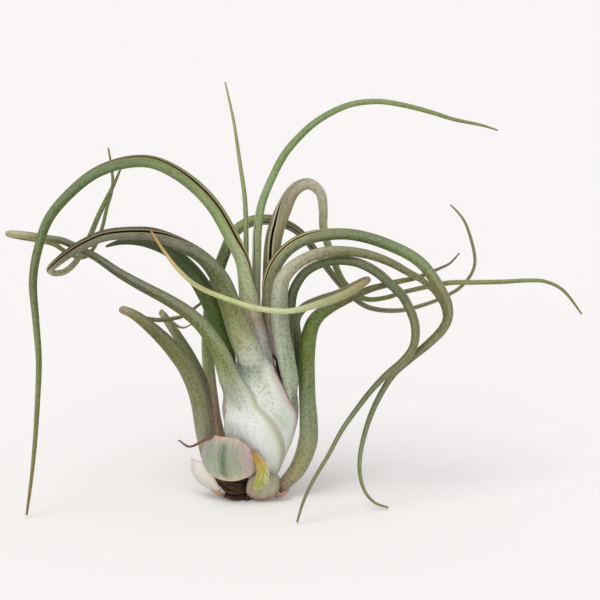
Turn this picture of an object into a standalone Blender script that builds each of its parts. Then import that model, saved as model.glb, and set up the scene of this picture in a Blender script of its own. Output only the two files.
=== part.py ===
"""A bulbous air plant: every leaf base, leaf, bract and root end as its own solid.

Each leaf is one loft. At its base it is a thin arc that lies on the bulb; further up its
margins roll inward until it is a narrow, almost closed C with an open groove on its upper side.
"""
import bpy
import bmesh
from math import radians, sin, cos, pi
from mathutils import Vector

MM = 0.001                  # the tables below are in millimetres
AXIS_X = 1.0                # the bulb's axis stands 1 mm right of the origin
LAYER_STEP = 1.25           # one leaf base and the gap to the next
SHEATH_THICKNESS = 0.8
BLADE_WALL = 0.62           # wall of a rolled blade, as a share of its radius
BLADE_WRAP = radians(150)   # half of the arc that a rolled blade closes
LONGEST_STEP = 10.0         # a longer stretch between two stations gets one more between them
NEAR_SHARE = 9 / 16         # weights of the near and far stations halfway along a Catmull-Rom curve
FAR_SHARE = 1 / 16
ARC_STEPS = 5
SHARP_EDGE = radians(50)    # edges that turn more than this stay sharp

# the bulb's outer radius at each height, and the levels where a leaf base has a section
BULB = [(7, 5.6), (11, 7.6), (16, 9.8), (20, 11.5), (26, 13.4), (32, 14.2), (38, 13.7),
        (46, 12.2), (54, 10.6)]
LEVELS = (8, 10.5, 13, 16, 20, 25, 31, 37, 43, 49)
LOWEST_LEVEL = 7.8
LEVEL_RISE = 2.4            # each layer further in starts this much higher on the stem

# name: (direction in degrees, layer, half wrap at the bottom and at the top, height of the top)
BASES = {
    "leaf_left_wavy": (-128, 0, 56, 28, 37),
    "leaf_left_mid": (-93, 1, 56, 28, 43),
    "leaf_left_arch": (-80, 3.2, 40, 22, 49),
    "leaf_right_middle_arch": (-20, 2, 32, 20, 37),
    "leaf_right_outer_arch": (24, 3, 32, 18, 49),
    "leaf_right_inner_arch": (16, 1, 24, 14, 43),
    "leaf_hairpin": (24, 0, 22, 14, 37),
    "leaf_hook": (90, 0, 40, 26, 49),
    "leaf_right_thin_arch": (96, 3.4, 22, 14, 43),
    "leaf_spike": (146, 3.8, 20, 12, 43),
    "leaf_left_grooved": (182, 1, 26, 18, 37),
}

# name: points x, y, z and width along the middle of the rolled blade, from the bulb to the tip
BLADES = {
    "leaf_left_arch": [
        (-0.2, -2.4, 61, 7.6), (-2, -2, 69, 7.4), (-3.2, -1.2, 77, 6.6), (-4.6, -2, 87, 5.7),
        (-8, -3, 95, 5.6),
        (-15, -5, 108, 5.3), (-24, -6, 117.5, 5.0), (-35, -7, 124, 4.8), (-45, -9, 125, 4.7),
        (-56, -12, 122, 4.5), (-65, -14, 115.5, 4.3), (-73, -17, 106.5, 4.0), (-77, -19, 96, 3.7),
        (-79, -20, 84, 3.4), (-78, -22, 70, 2.8), (-77, -24, 56, 2.4), (-77.5, -26, 42, 2.1),
        (-78.5, -28, 27, 1.8), (-80, -29, 13, 1.4), (-81.7, -30, 0.9, 0.9)],
    "leaf_spike": [
        (-4.4, 5, 58, 2.6), (-4, 5.2, 76, 2.2), (-3.6, 4.6, 92, 2.0), (-4, 5, 108.5, 1.8),
        (-5.8, 6, 122, 1.5), (-8, 7, 137, 1.1), (-11, 8, 151, 0.6)],
    "leaf_right_thin_arch": [
        (0.2, 5.4, 57, 3.2), (0, 6, 75, 3.2), (0.3, 4.6, 90, 3.2), (0.6, 3.4, 98, 3.3),
        (2.5, 3, 109, 3.2), (9, 4, 123.5, 3.2), (15.5, 5, 131.7, 3.0), (23, 6, 138, 2.8),
        (33, 7, 142.8, 2.5), (43, 8, 144, 2.3), (52, 9, 142.7, 2.1), (62, 10, 140, 1.9),
        (71, 11, 137, 1.6), (81, 12, 134.7, 1.2), (87, 12.5, 132.7, 0.6)],
    "leaf_hook": [
        (3.6, 12.6, 60, 6.0), (5, 10.6, 73, 6.0), (5.4, 9.2, 84.6, 6.0), (6.6, 9, 94.6, 6.2),
        (9.7, 9.2, 103.8, 6.0), (13.3, 10, 111, 5.4), (18.7, 11.5, 113.5, 4.7), (23.2, 13, 109.8, 4.0),
        (24.2, 14.5, 103, 3.5), (24.4, 15.5, 96, 3.2), (27, 16, 87, 2.8), (31.5, 16, 76.5, 2.4),
        (38.5, 15, 70.5, 2.1), (46, 14, 70.6, 1.8), (54.7, 13, 73.4, 1.8), (69, 12, 76.6, 2.0),
        (79, 11.5, 77, 1.9), (89, 11, 77.3, 1.8), (98, 10, 78, 1.6), (105, 10, 77.5, 1.4),
        (111.5, 10, 74, 1.2), (118, 10, 65.5, 0.6)],
    "leaf_right_outer_arch": [
        (5.6, 1.6, 61, 5.6), (4.6, 1.4, 72, 5.6), (5, 1.4, 80, 5.4), (7.6, 1.8, 86.5, 5.2),
        (12.5, 2.8, 91.8, 4.9), (20, 2.5, 95.5, 4.8), (33, 2, 96.8, 4.7), (46.4, 1, 93.6, 4.7),
        (59, -0.5, 87, 4.7), (67, -2, 76, 4.6), (69.2, -3, 69, 4.1), (67.5, -4, 63.5, 3.8),
        (62.3, -6, 58.3, 3.5), (55.8, -8, 53.2, 3.1), (49.7, -10, 48, 2.7), (45, -12, 41.2, 2.5),
        (41.4, -14, 34, 2.3), (39, -16, 27, 2.1), (37.4, -17.5, 19.5, 1.9), (37.4, -18.5, 12.5, 1.6),
        (39.2, -19, 6.6, 1.3), (42.7, -19.3, 2.6, 1.1), (47.5, -19.5, 0.9, 0.8)],
    "leaf_right_middle_arch": [
        (12.4, -6.8, 45, 6.8), (11, -9.2, 54.5, 7.0), (8.8, -9.6, 64, 7.2),
        (8.2, -9, 73, 7.1), (8.8, -7.8, 80.5, 6.6), (11.2, -6.8, 84.5, 5.6), (15.5, -5.5, 88, 4.9),
        (21.2, -4, 90.5, 4.5), (27, -2.5, 91.4, 4.1), (33, -1, 91, 3.8), (38.2, 0.5, 90, 3.6),
        (43.6, 2, 88.2, 3.4), (49.3, 3.5, 85.5, 3.1), (54.7, 4.5, 82.2, 2.8), (60, 5.2, 79, 2.5),
        (64.6, 5, 74.6, 2.0), (67.4, 4.6, 69.5, 1.5), (68, 4, 64.5, 0.8)],
    "leaf_right_inner_arch": [
        (12, 0.6, 52, 4.4), (11.4, -1, 61, 4.4), (12.2, -2, 70, 4.2), (13.4, -1, 76.6, 4.0),
        (17, 0.4, 82.4, 3.8),
        (22, 1, 85.6, 3.6), (28.2, 1, 87.2, 3.6), (34.6, 0.4, 87, 3.6), (39.4, -0.8, 85.6, 3.6),
        (44, -2, 83, 3.6), (48, -3, 79.6, 3.6), (52.4, -4.5, 75.6, 3.6), (55.4, -6.5, 70.5, 3.6),
        (57, -8.5, 66, 3.6), (57.2, -10.5, 61.5, 3.4), (56, -12.5, 57.5, 3.3), (52.4, -15, 53.5, 3.1),
        (46.8, -18, 49.5, 2.6), (41, -21, 44, 2.3), (35.6, -24, 37.6, 2.1), (30.6, -27, 31, 1.9),
        (25.9, -30.5, 23, 1.7), (20.5, -34, 14.6, 1.5), (17, -37, 7.6, 1.2), (14.8, -40, 0.9, 0.8)],
    "leaf_right_column": [
        (7.6, -2, 3.2, 4.0), (11, -1.6, 5.8, 5.0), (15.4, -1.4, 11.4, 6.2), (18.6, -1.2, 20, 7.0),
        (19, -1.2, 28, 6.6), (18.5, -1.2, 36, 6.0), (18.3, -1.2, 44, 5.9), (18.3, -1.2, 52.5, 5.9),
        (19.4, -1.6, 61.5, 5.6), (22, -2.4, 67, 5.0), (27, -3.4, 71, 4.2), (33, -4, 74.2, 3.5),
        (38, -3.4, 76.5, 3.0), (42, -1.6, 77.6, 2.7), (46.2, 1.6, 78, 2.4), (51, 5, 78.6, 2.2),
        (57, 8, 79.2, 1.9), (62, 9, 80.8, 1.6), (66, 9, 82.6, 1.2), (70, 9, 84.6, 0.9),
        (73.4, 9, 88.3, 0.5)],
    "leaf_hairpin": [
        (14.6, 5.6, 46, 4.4), (15, 5, 55, 4.4), (14, 4.4, 64, 4.0), (17, 4.6, 69, 3.4),
        (22.6, 4.6, 72, 3.0), (29, 4, 74.4, 2.7), (34.6, 2.4, 77.6, 2.4), (38.8, -0.6, 80.4, 2.2),
        (40.2, -4.4, 81.2, 2.2), (38.6, -7.4, 80.6, 2.6), (35.4, -9.6, 79.2, 3.2), (31, -11.2, 77, 3.5),
        (23, -13, 74.4, 3.0), (12.2, -15.4, 72.2, 2.3), (1.4, -17.6, 73.5, 2.2),
        (-9.4, -18.8, 77, 2.1), (-20.2, -19.4, 81.8, 1.9), (-27.4, -19, 88, 1.6),
        (-32.8, -18, 95, 1.2), (-37, -17, 101.5, 0.6)],
    "leaf_left_mid": [
        (-2.4, -11.8, 54, 7.8), (-5.8, -11.4, 64, 7.6), (-9, -10.8, 73.6, 7.0), (-12.8, -10.4, 82.8, 6.4),
        (-18, -10, 89.8, 5.9), (-25, -9.8, 94.4, 5.3), (-34.6, -9.8, 98.4, 4.8), (-42, -9.8, 99.4, 4.6),
        (-53, -9.8, 98.6, 4.3), (-61, -9.6, 95.4, 4.0), (-67, -9, 91.6, 3.6), (-71.3, -7.8, 88, 3.0),
        (-73.8, -5.8, 85.2, 2.6), (-72.6, -3, 83.4, 2.4), (-69, -0.8, 83.4, 2.3),
        (-65.4, 1.2, 86, 2.2), (-62, 2.8, 91, 2.1), (-59.2, 3.4, 96.9, 2.0), (-56.5, 3.4, 103.3, 1.9),
        (-53.6, 3.2, 109.3, 1.7), (-50.6, 3, 115.4, 1.3), (-48.2, 2.5, 121, 0.6)],
    "leaf_left_wavy": [
        (-9.8, -13.8, 48, 7.2), (-12.8, -14.4, 57, 6.6), (-18, -15, 65.6, 6.0), (-24, -14.6, 71.4, 5.5),
        (-31, -13.5, 75.8, 5.0), (-37.4, -12, 79, 4.6), (-43.2, -10.4, 81.8, 4.3), (-49.3, -8.4, 85, 3.8),
        (-56.5, -6.4, 89.6, 3.3), (-62, -5, 92.2, 3.1), (-68.5, -4, 95.2, 3.0),
        (-74, -3.5, 96.2, 2.9), (-80, -3, 97.1, 2.9), (-85.4, -2.4, 97.6, 2.9), (-88.6, -0.8, 97.4, 2.7),
        (-86, 1.2, 96.2, 2.4), (-79, 3, 94.4, 2.1), (-73, 4.6, 92.6, 1.9), (-69.6, 6, 90, 1.7),
        (-65.6, 7.6, 87.4, 1.6), (-61.6, 8.2, 87.2, 1.6), (-58.3, 8.2, 91, 1.5), (-55.6, 8, 97.6, 1.4),
        (-53.8, 7.5, 105, 1.3), (-51.8, 6.5, 112, 1.2), (-51.6, 6, 118, 1.1), (-52.9, 5, 127.6, 0.6)],
    "leaf_left_low": [
        (-7.8, -0.8, 3.2, 4.2), (-12.6, -1, 6.4, 5.2), (-16.8, -0.9, 14, 5.8), (-19, -2.4, 24, 6.2),
        (-20.9, -5, 38, 6.7), (-24.4, -6, 48, 6.6), (-28.8, -7, 55, 6.3), (-33.5, -7.2, 60.4, 5.6),
        (-38.9, -7.2, 65.4, 4.7), (-43.4, -6.6, 68.8, 4.0), (-47.4, -5.4, 70.4, 3.2),
        (-47.4, -3.2, 69.4, 2.5), (-43.4, -1.6, 67.4, 2.1), (-38.2, -0.5, 66, 1.9),
        (-34.2, 0, 65.6, 1.8), (-30.2, 0.5, 66, 1.7), (-26, 1, 67, 1.5), (-21.4, 2, 70.2, 1.2),
        (-17.4, 3.2, 73, 0.6)],
    "leaf_left_small": [
        (-7, 3.8, 3.4, 3.0), (-11.6, 4.4, 8, 3.4), (-15.6, 3.6, 18, 3.8), (-17.4, 3, 30, 4.2),
        (-19, 3.2, 41, 4.4), (-23.6, 4, 51, 4.2), (-28, 5, 57.8, 4.0), (-31.7, 5.6, 63.4, 3.4),
        (-34.2, 6.6, 66.8, 2.6), (-33.6, 8.2, 66, 1.9), (-31, 8.8, 63.4, 1.4), (-28.6, 8.8, 61.4, 1.0),
        (-26.2, 8.6, 60.8, 0.8), (-23.4, 8.2, 62.3, 0.5)],
    "leaf_left_grooved": [
        (-10.4, -1.6, 48, 6.4), (-11.4, -2.8, 56, 7.0), (-14.8, -2.6, 68.6, 7.0), (-18.6, -2.4, 77, 6.6),
        (-23.8, -1.5, 84.4, 5.8), (-31, 0, 90.8, 4.8), (-38.2, 1, 93.6, 4.0), (-44, 1.8, 94.2, 3.0),
        (-49.4, 2.2, 93.6, 2.0), (-54, 2.6, 92, 0.8)],
    "leaf_back_sweep": [
        (-4.8, 7.4, 3.2, 3.4), (-8.6, 9.6, 8, 4.4), (-12.6, 9.6, 17, 5.0), (-15, 9.8, 26, 5.0),
        (-16.4, 9.8, 36, 5.0), (-17.4, 10, 47, 5.0), (-17.6, 10, 57, 5.0), (-16.6, 10.4, 69, 5.0),
        (-14, 11, 80, 5.0), (-11.2, 12, 88, 4.9), (-8, 13, 95, 4.6), (-2.2, 14.6, 98.8, 4.2),
        (3.6, 15.6, 99.4, 3.9), (9, 17, 98.2, 3.5), (16.6, 19.5, 93, 3.0), (25.2, 21.5, 81, 2.5),
        (30.6, 21.5, 74, 2.2), (36.4, 21, 68.4, 2.0), (42.5, 20, 65.4, 1.8), (52.2, 18, 65.2, 1.7),
        (61.9, 16.6, 67.9, 1.5), (70, 15.6, 71.6, 1.4), (75, 15.4, 75.2, 1.3), (78.6, 15.4, 80.5, 1.2),
        (79.2, 15, 86, 1.2), (77, 14, 95, 1.1), (74.5, 14, 100.4, 0.9), (70.2, 13.5, 105.3, 0.5)],
}

# name: outward direction, then middle x, y, z, arc radius and half wrap of each section
BRACTS = {
    "old_sheath_cup": ((-0.35, -0.94, 0), [
        (-9.8, -9, 9, 8.0, 48), (-10.6, -11.2, 12.4, 9.4, 64), (-11, -12.6, 17, 9.6, 64),
        (-11, -13.8, 22, 9.5, 54), (-10.6, -14.6, 25.4, 9.0, 44)]),
    "yellow_bract": ((0.1, -1, 0), [
        (0.6, -11.4, 5.6, 2.4, 50), (1.8, -12.2, 9.4, 2.4, 60), (2.2, -12.8, 13, 2.4, 60),
        (0.8, -13.9, 17, 2.2, 55), (-2, -14.9, 20.6, 1.6, 45)]),
    "base_bract": ((0.05, -1, 0), [
        (1.8, -6.8, 0.8, 4.6, 52), (2.2, -8.4, 3.6, 6.6, 52), (2.8, -9, 7.4, 7.0, 46),
        (3.6, -9.2, 10.6, 6.8, 38)]),
    "back_bract": ((-0.85, -0.53, 0), [
        (-17.4, -3.8, 5.6, 4.8, 50), (-19, -4, 7.6, 5.2, 52), (-20.4, -4.1, 10.6, 5.4, 52),
        (-21.6, -3.9, 14.6, 5.0, 40)]),
    "dry_scale_left": ((-0.3, -0.3, -0.9), [
        (-11.8, -4.6, 1.8, 3.0, 40), (-14.4, -4.6, 2.8, 3.0, 40), (-17, -4.4, 4.8, 2.4, 30)]),
    "dry_scale_right": ((0.3, -0.4, -0.9), [
        (7, -6.6, 1.6, 2.4, 40), (9.4, -6.2, 2.4, 2.4, 40), (12, -5.8, 4.0, 1.8, 30)]),
}
BRACT_THICKNESS = 0.7

# name: points x, y, z and width of a bare round strand
STRANDS = {
    "root_upper": [(-5.9, -4.6, 4, 2.6), (-8.2, -6.4, 4.6, 2.2), (-10.6, -7.6, 5.8, 1.4)],
    "root_lower": [(-5.4, -4.4, 1.3, 1.8), (-8.6, -6.6, 1.2, 1.6), (-11.4, -8, 1.9, 1.0)],
    "dried_thread": [(-17, -12.6, 25, 1.2), (-20, -12, 23.2, 1.0), (-23, -11, 21.2, 0.9),
                     (-25.6, -10, 21.6, 0.8), (-27.7, -9.4, 23, 0.6)],
}

# height and radius of each ring of the woody stem
STEM_RINGS = [(0.0, 4.8), (1.0, 5.2), (4.0, 5.0), (7.0, 4.2), (13.0, 4.2), (15.6, 3.0)]
STEM_SIDES = 14

COLOURS = {
    "leaf_left_arch": (0.12, 0.26, 0.10), "leaf_spike": (0.30, 0.37, 0.15),
    "leaf_right_thin_arch": (0.16, 0.33, 0.11), "leaf_hook": (0.21, 0.20, 0.12),
    "leaf_right_outer_arch": (0.26, 0.30, 0.18), "leaf_right_middle_arch": (0.38, 0.40, 0.30),
    "leaf_right_inner_arch": (0.06, 0.11, 0.05), "leaf_right_column": (0.17, 0.23, 0.12),
    "leaf_hairpin": (0.50, 0.53, 0.25), "leaf_left_mid": (0.13, 0.15, 0.05),
    "leaf_left_wavy": (0.12, 0.13, 0.03), "leaf_left_low": (0.10, 0.13, 0.05),
    "leaf_left_small": (0.12, 0.15, 0.06), "leaf_left_grooved": (0.04, 0.09, 0.02),
    "leaf_back_sweep": (0.10, 0.20, 0.13),
}
BRACT_COLOUR = (0.45, 0.44, 0.30)
DRY_COLOUR = (0.30, 0.17, 0.08)
WOOD_COLOUR = (0.07, 0.03, 0.015)


def clear_scene():
    for old in list(bpy.data.objects):
        bpy.data.objects.remove(old, do_unlink=True)


def material(name, colour, roughness=0.65):
    mat = bpy.data.materials.new(name)
    mat.use_nodes = True
    shader = mat.node_tree.nodes["Principled BSDF"]
    shader.inputs["Base Color"].default_value = (*colour, 1.0)
    shader.inputs["Roughness"].default_value = roughness
    shader.inputs["Metallic"].default_value = 0.0
    return mat


def between(table, at):
    """Straight-line reading of a (position, value) table."""
    if at <= table[0][0]:
        return table[0][1]
    for (x0, y0), (x1, y1) in zip(table, table[1:]):
        if at <= x1:
            return y0 + (y1 - y0) * (at - x0) / (x1 - x0)
    return table[-1][1]


def base_stations(name):
    """Where a leaf base lies on the bulb. Its sections are level arcs round the bulb's axis.

    A station is the middle of its arc, the arc's radius and half wrap, the thickness, and how
    upright the section's axis is held: 1 keeps it vertical, 0 lets it follow the leaf.
    """
    direction, layer, low_wrap, high_wrap, top = BASES[name]
    outward = Vector((cos(radians(direction)), sin(radians(direction)), 0))
    first = LOWEST_LEVEL + LEVEL_RISE * layer
    stations = []
    for height in LEVELS:
        if first <= height <= top:
            radius = between(BULB, height) - LAYER_STEP * layer
            wrap = radians(between([(first, low_wrap), (top, high_wrap)], height))
            middle = Vector((AXIS_X, 0, height)) + outward * radius * sin(wrap) / wrap
            stations.append((middle, radius, wrap, SHEATH_THICKNESS, 1.0))
    return outward, stations


def blade_stations(points):
    """A rolled blade: its points with their widths, as stations that follow the leaf."""
    stations = []
    for x, y, z, width in points:
        wall = BLADE_WALL * width / 2
        stations.append((Vector((x, y, z)), (width - wall) / 2, BLADE_WRAP, wall, 0.0))
    return stations


def refine(stations):
    """Put one more station in each long stretch, on a Catmull-Rom curve through the middles."""
    fine = []
    last = len(stations) - 1
    for i in range(last):
        here, after = stations[i], stations[i + 1]
        fine.append(here)
        if (after[0] - here[0]).length > LONGEST_STEP:
            before, beyond = stations[max(i - 1, 0)][0], stations[min(i + 2, last)][0]
            middle = (here[0] + after[0]) * NEAR_SHARE - (before + beyond) * FAR_SHARE
            wrap, wall, upright = [(a + b) / 2 for a, b in zip(here[2:], after[2:])]
            half_width = (here[1] * here[2] + after[1] * after[2]) / 2
            fine.append((middle, half_width / wrap, wrap, wall, upright))
    fine.append(stations[last])
    return fine


def loft_leaf(name, stations, outward):
    """Loft a C-shaped section along the stations, with the open side away from outward."""
    stations = refine(stations)
    middles = [station[0] for station in stations]
    last = len(stations) - 1
    mesh = bmesh.new()
    rings = []
    back = outward.copy()
    for i, (middle, radius, wrap, wall, upright) in enumerate(stations):
        along = (middles[min(i + 1, last)] - middles[max(i - 1, 0)]).normalized()
        along = along.lerp(Vector((0, 0, 1)), upright).normalized()
        back = (back - along * back.dot(along)).normalized()
        side = along.cross(back)
        centre = middle - back * radius * sin(wrap) / wrap
        ring = []
        for reach, order in ((radius + wall / 2, 1), (radius - wall / 2, -1)):
            for step in range(ARC_STEPS + 1):
                angle = order * wrap * (2 * step / ARC_STEPS - 1)
                point = centre + (back * cos(angle) + side * sin(angle)) * reach
                ring.append(mesh.verts.new(point * MM))
        rings.append(ring)
    skin_rings(mesh, rings)
    return finish_mesh(name, mesh)


def skin_rings(mesh, rings):
    """Close the loft: faces between rings, and a strip across each end."""
    count = len(rings[0])
    for low, high in zip(rings, rings[1:]):
        for i in range(count):
            j = (i + 1) % count
            mesh.faces.new((low[i], low[j], high[j], high[i]))
    for ring, turned in ((rings[0], True), (rings[-1], False)):
        for i in range(count // 2 - 1):
            quad = [ring[i], ring[i + 1], ring[count - 2 - i], ring[count - 1 - i]]
            mesh.faces.new(quad[::-1] if turned else quad)


def finish_mesh(name, mesh):
    bmesh.ops.recalc_face_normals(mesh, faces=mesh.faces)
    data = bpy.data.meshes.new(name)
    mesh.to_mesh(data)
    mesh.free()
    data.shade_smooth()
    data.set_sharp_from_angle(angle=SHARP_EDGE)
    return bpy.data.objects.new(name, data)


def add(collection, obj, mat):
    obj.data.materials.append(mat)
    collection.objects.link(obj)
    return obj


def build_leaves(collection):
    for name, points in BLADES.items():
        blade = blade_stations(points)
        if name in BASES:
            outward, base = base_stations(name)
        else:
            outward, base = Vector((points[2][0], points[2][1], 0)).normalized(), []
        leaf = loft_leaf(name, base + blade, outward)
        add(collection, leaf, material(name + "_skin", COLOURS[name]))


def build_bracts(collection):
    """Old leaf bases and dry scales: short thin shells round the foot of the bulb."""
    for name, (outward, sections) in BRACTS.items():
        upright = 1.0 if outward[2] == 0 else 0.0
        stations = []
        for x, y, z, radius, wrap in sections:
            wrap = radians(wrap)
            stations.append((Vector((x, y, z)), radius, wrap, BRACT_THICKNESS, upright))
        bract = loft_leaf(name, stations, Vector(outward).normalized())
        colour = DRY_COLOUR if name.startswith("dry") else BRACT_COLOUR
        add(collection, bract, material(name + "_skin", colour, 0.8))


def build_strands(collection):
    """Root ends and the dried thread: tapered round tubes with filled caps."""
    for name, points in STRANDS.items():
        curve = bpy.data.curves.new(name, "CURVE")
        curve.dimensions = "3D"
        curve.bevel_depth = MM / 2
        curve.bevel_resolution = 2
        curve.use_fill_caps = True
        spline = curve.splines.new("POLY")
        spline.points.add(len(points) - 1)
        for point, (x, y, z, width) in zip(spline.points, points):
            point.co = (x * MM, y * MM, z * MM, 1)
            point.radius = width
        strand = bpy.data.objects.new(name, curve)
        add(collection, strand, material(name + "_skin", WOOD_COLOUR, 0.85))


def build_stem(collection):
    """The short woody base: a turned stub with a flat foot, and the plant's origin under it."""
    mesh = bmesh.new()
    loops = []
    for height, radius in STEM_RINGS:
        loop = []
        for i in range(STEM_SIDES):
            angle = 2 * pi * i / STEM_SIDES
            loop.append(mesh.verts.new(Vector((radius * cos(angle), radius * sin(angle), height)) * MM))
        loops.append(loop)
    for low, high in zip(loops, loops[1:]):
        for i in range(STEM_SIDES):
            j = (i + 1) % STEM_SIDES
            mesh.faces.new((low[i], low[j], high[j], high[i]))
    mesh.faces.new(loops[0][::-1])
    mesh.faces.new(loops[-1])
    add(collection, finish_mesh("stem_stub", mesh), material("stem_wood", WOOD_COLOUR, 0.85))


def main():
    clear_scene()
    plant = bpy.data.collections.new("air_plant")
    bpy.context.scene.collection.children.link(plant)
    build_stem(plant)
    build_leaves(plant)
    build_bracts(plant)
    build_strands(plant)


main()
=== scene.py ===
"""Looks of the air plant: smooth rolled leaves, layered leaf bases, dry bracts and root ends.

Every leaf is one loft that repeats the CAD leaf's points. Its section is an arc on the bulb and
rolls into a nearly closed C further up. Attributes on the mesh say where a point lies across and
along its leaf, and the materials read them.
"""
from math import radians, sin, cos, pi

import bpy
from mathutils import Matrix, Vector, noise


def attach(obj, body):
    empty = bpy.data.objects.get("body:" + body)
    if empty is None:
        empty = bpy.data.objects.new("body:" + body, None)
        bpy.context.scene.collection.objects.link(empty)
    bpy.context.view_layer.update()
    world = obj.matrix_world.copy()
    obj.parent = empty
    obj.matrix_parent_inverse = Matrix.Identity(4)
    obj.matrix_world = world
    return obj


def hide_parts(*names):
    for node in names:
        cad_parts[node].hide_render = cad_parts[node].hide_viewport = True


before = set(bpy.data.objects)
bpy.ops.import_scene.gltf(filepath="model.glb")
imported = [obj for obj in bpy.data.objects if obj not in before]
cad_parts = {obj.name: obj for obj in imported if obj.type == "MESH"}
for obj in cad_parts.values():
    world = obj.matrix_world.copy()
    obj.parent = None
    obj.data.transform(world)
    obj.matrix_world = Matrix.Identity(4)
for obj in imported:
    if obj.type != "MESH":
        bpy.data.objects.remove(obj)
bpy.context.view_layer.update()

MM = 0.001
AXIS_X = 1.0                # the bulb's axis, in mm
LAYER_STEP = 1.25           # from one leaf base to the next further in
# height and outer radius of the bulb, in mm
BULB = [(7, 5.6), (11, 7.6), (16, 9.8), (20, 11.5), (26, 13.4), (32, 14.2), (38, 13.7),
        (46, 12.2), (54, 10.6)]
RING_GAP = 1.3              # distance between two sections of a leaf
OUTER_STEPS = 26            # points across the outer side of a section
INNER_STEPS = 16
SHEATH_WALL = 0.9           # mm
BLADE_WALL = 0.24           # wall of a rolled blade, as a share of its width
FULL_WRAP = radians(166)    # half of the arc that a rolled blade closes

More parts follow.
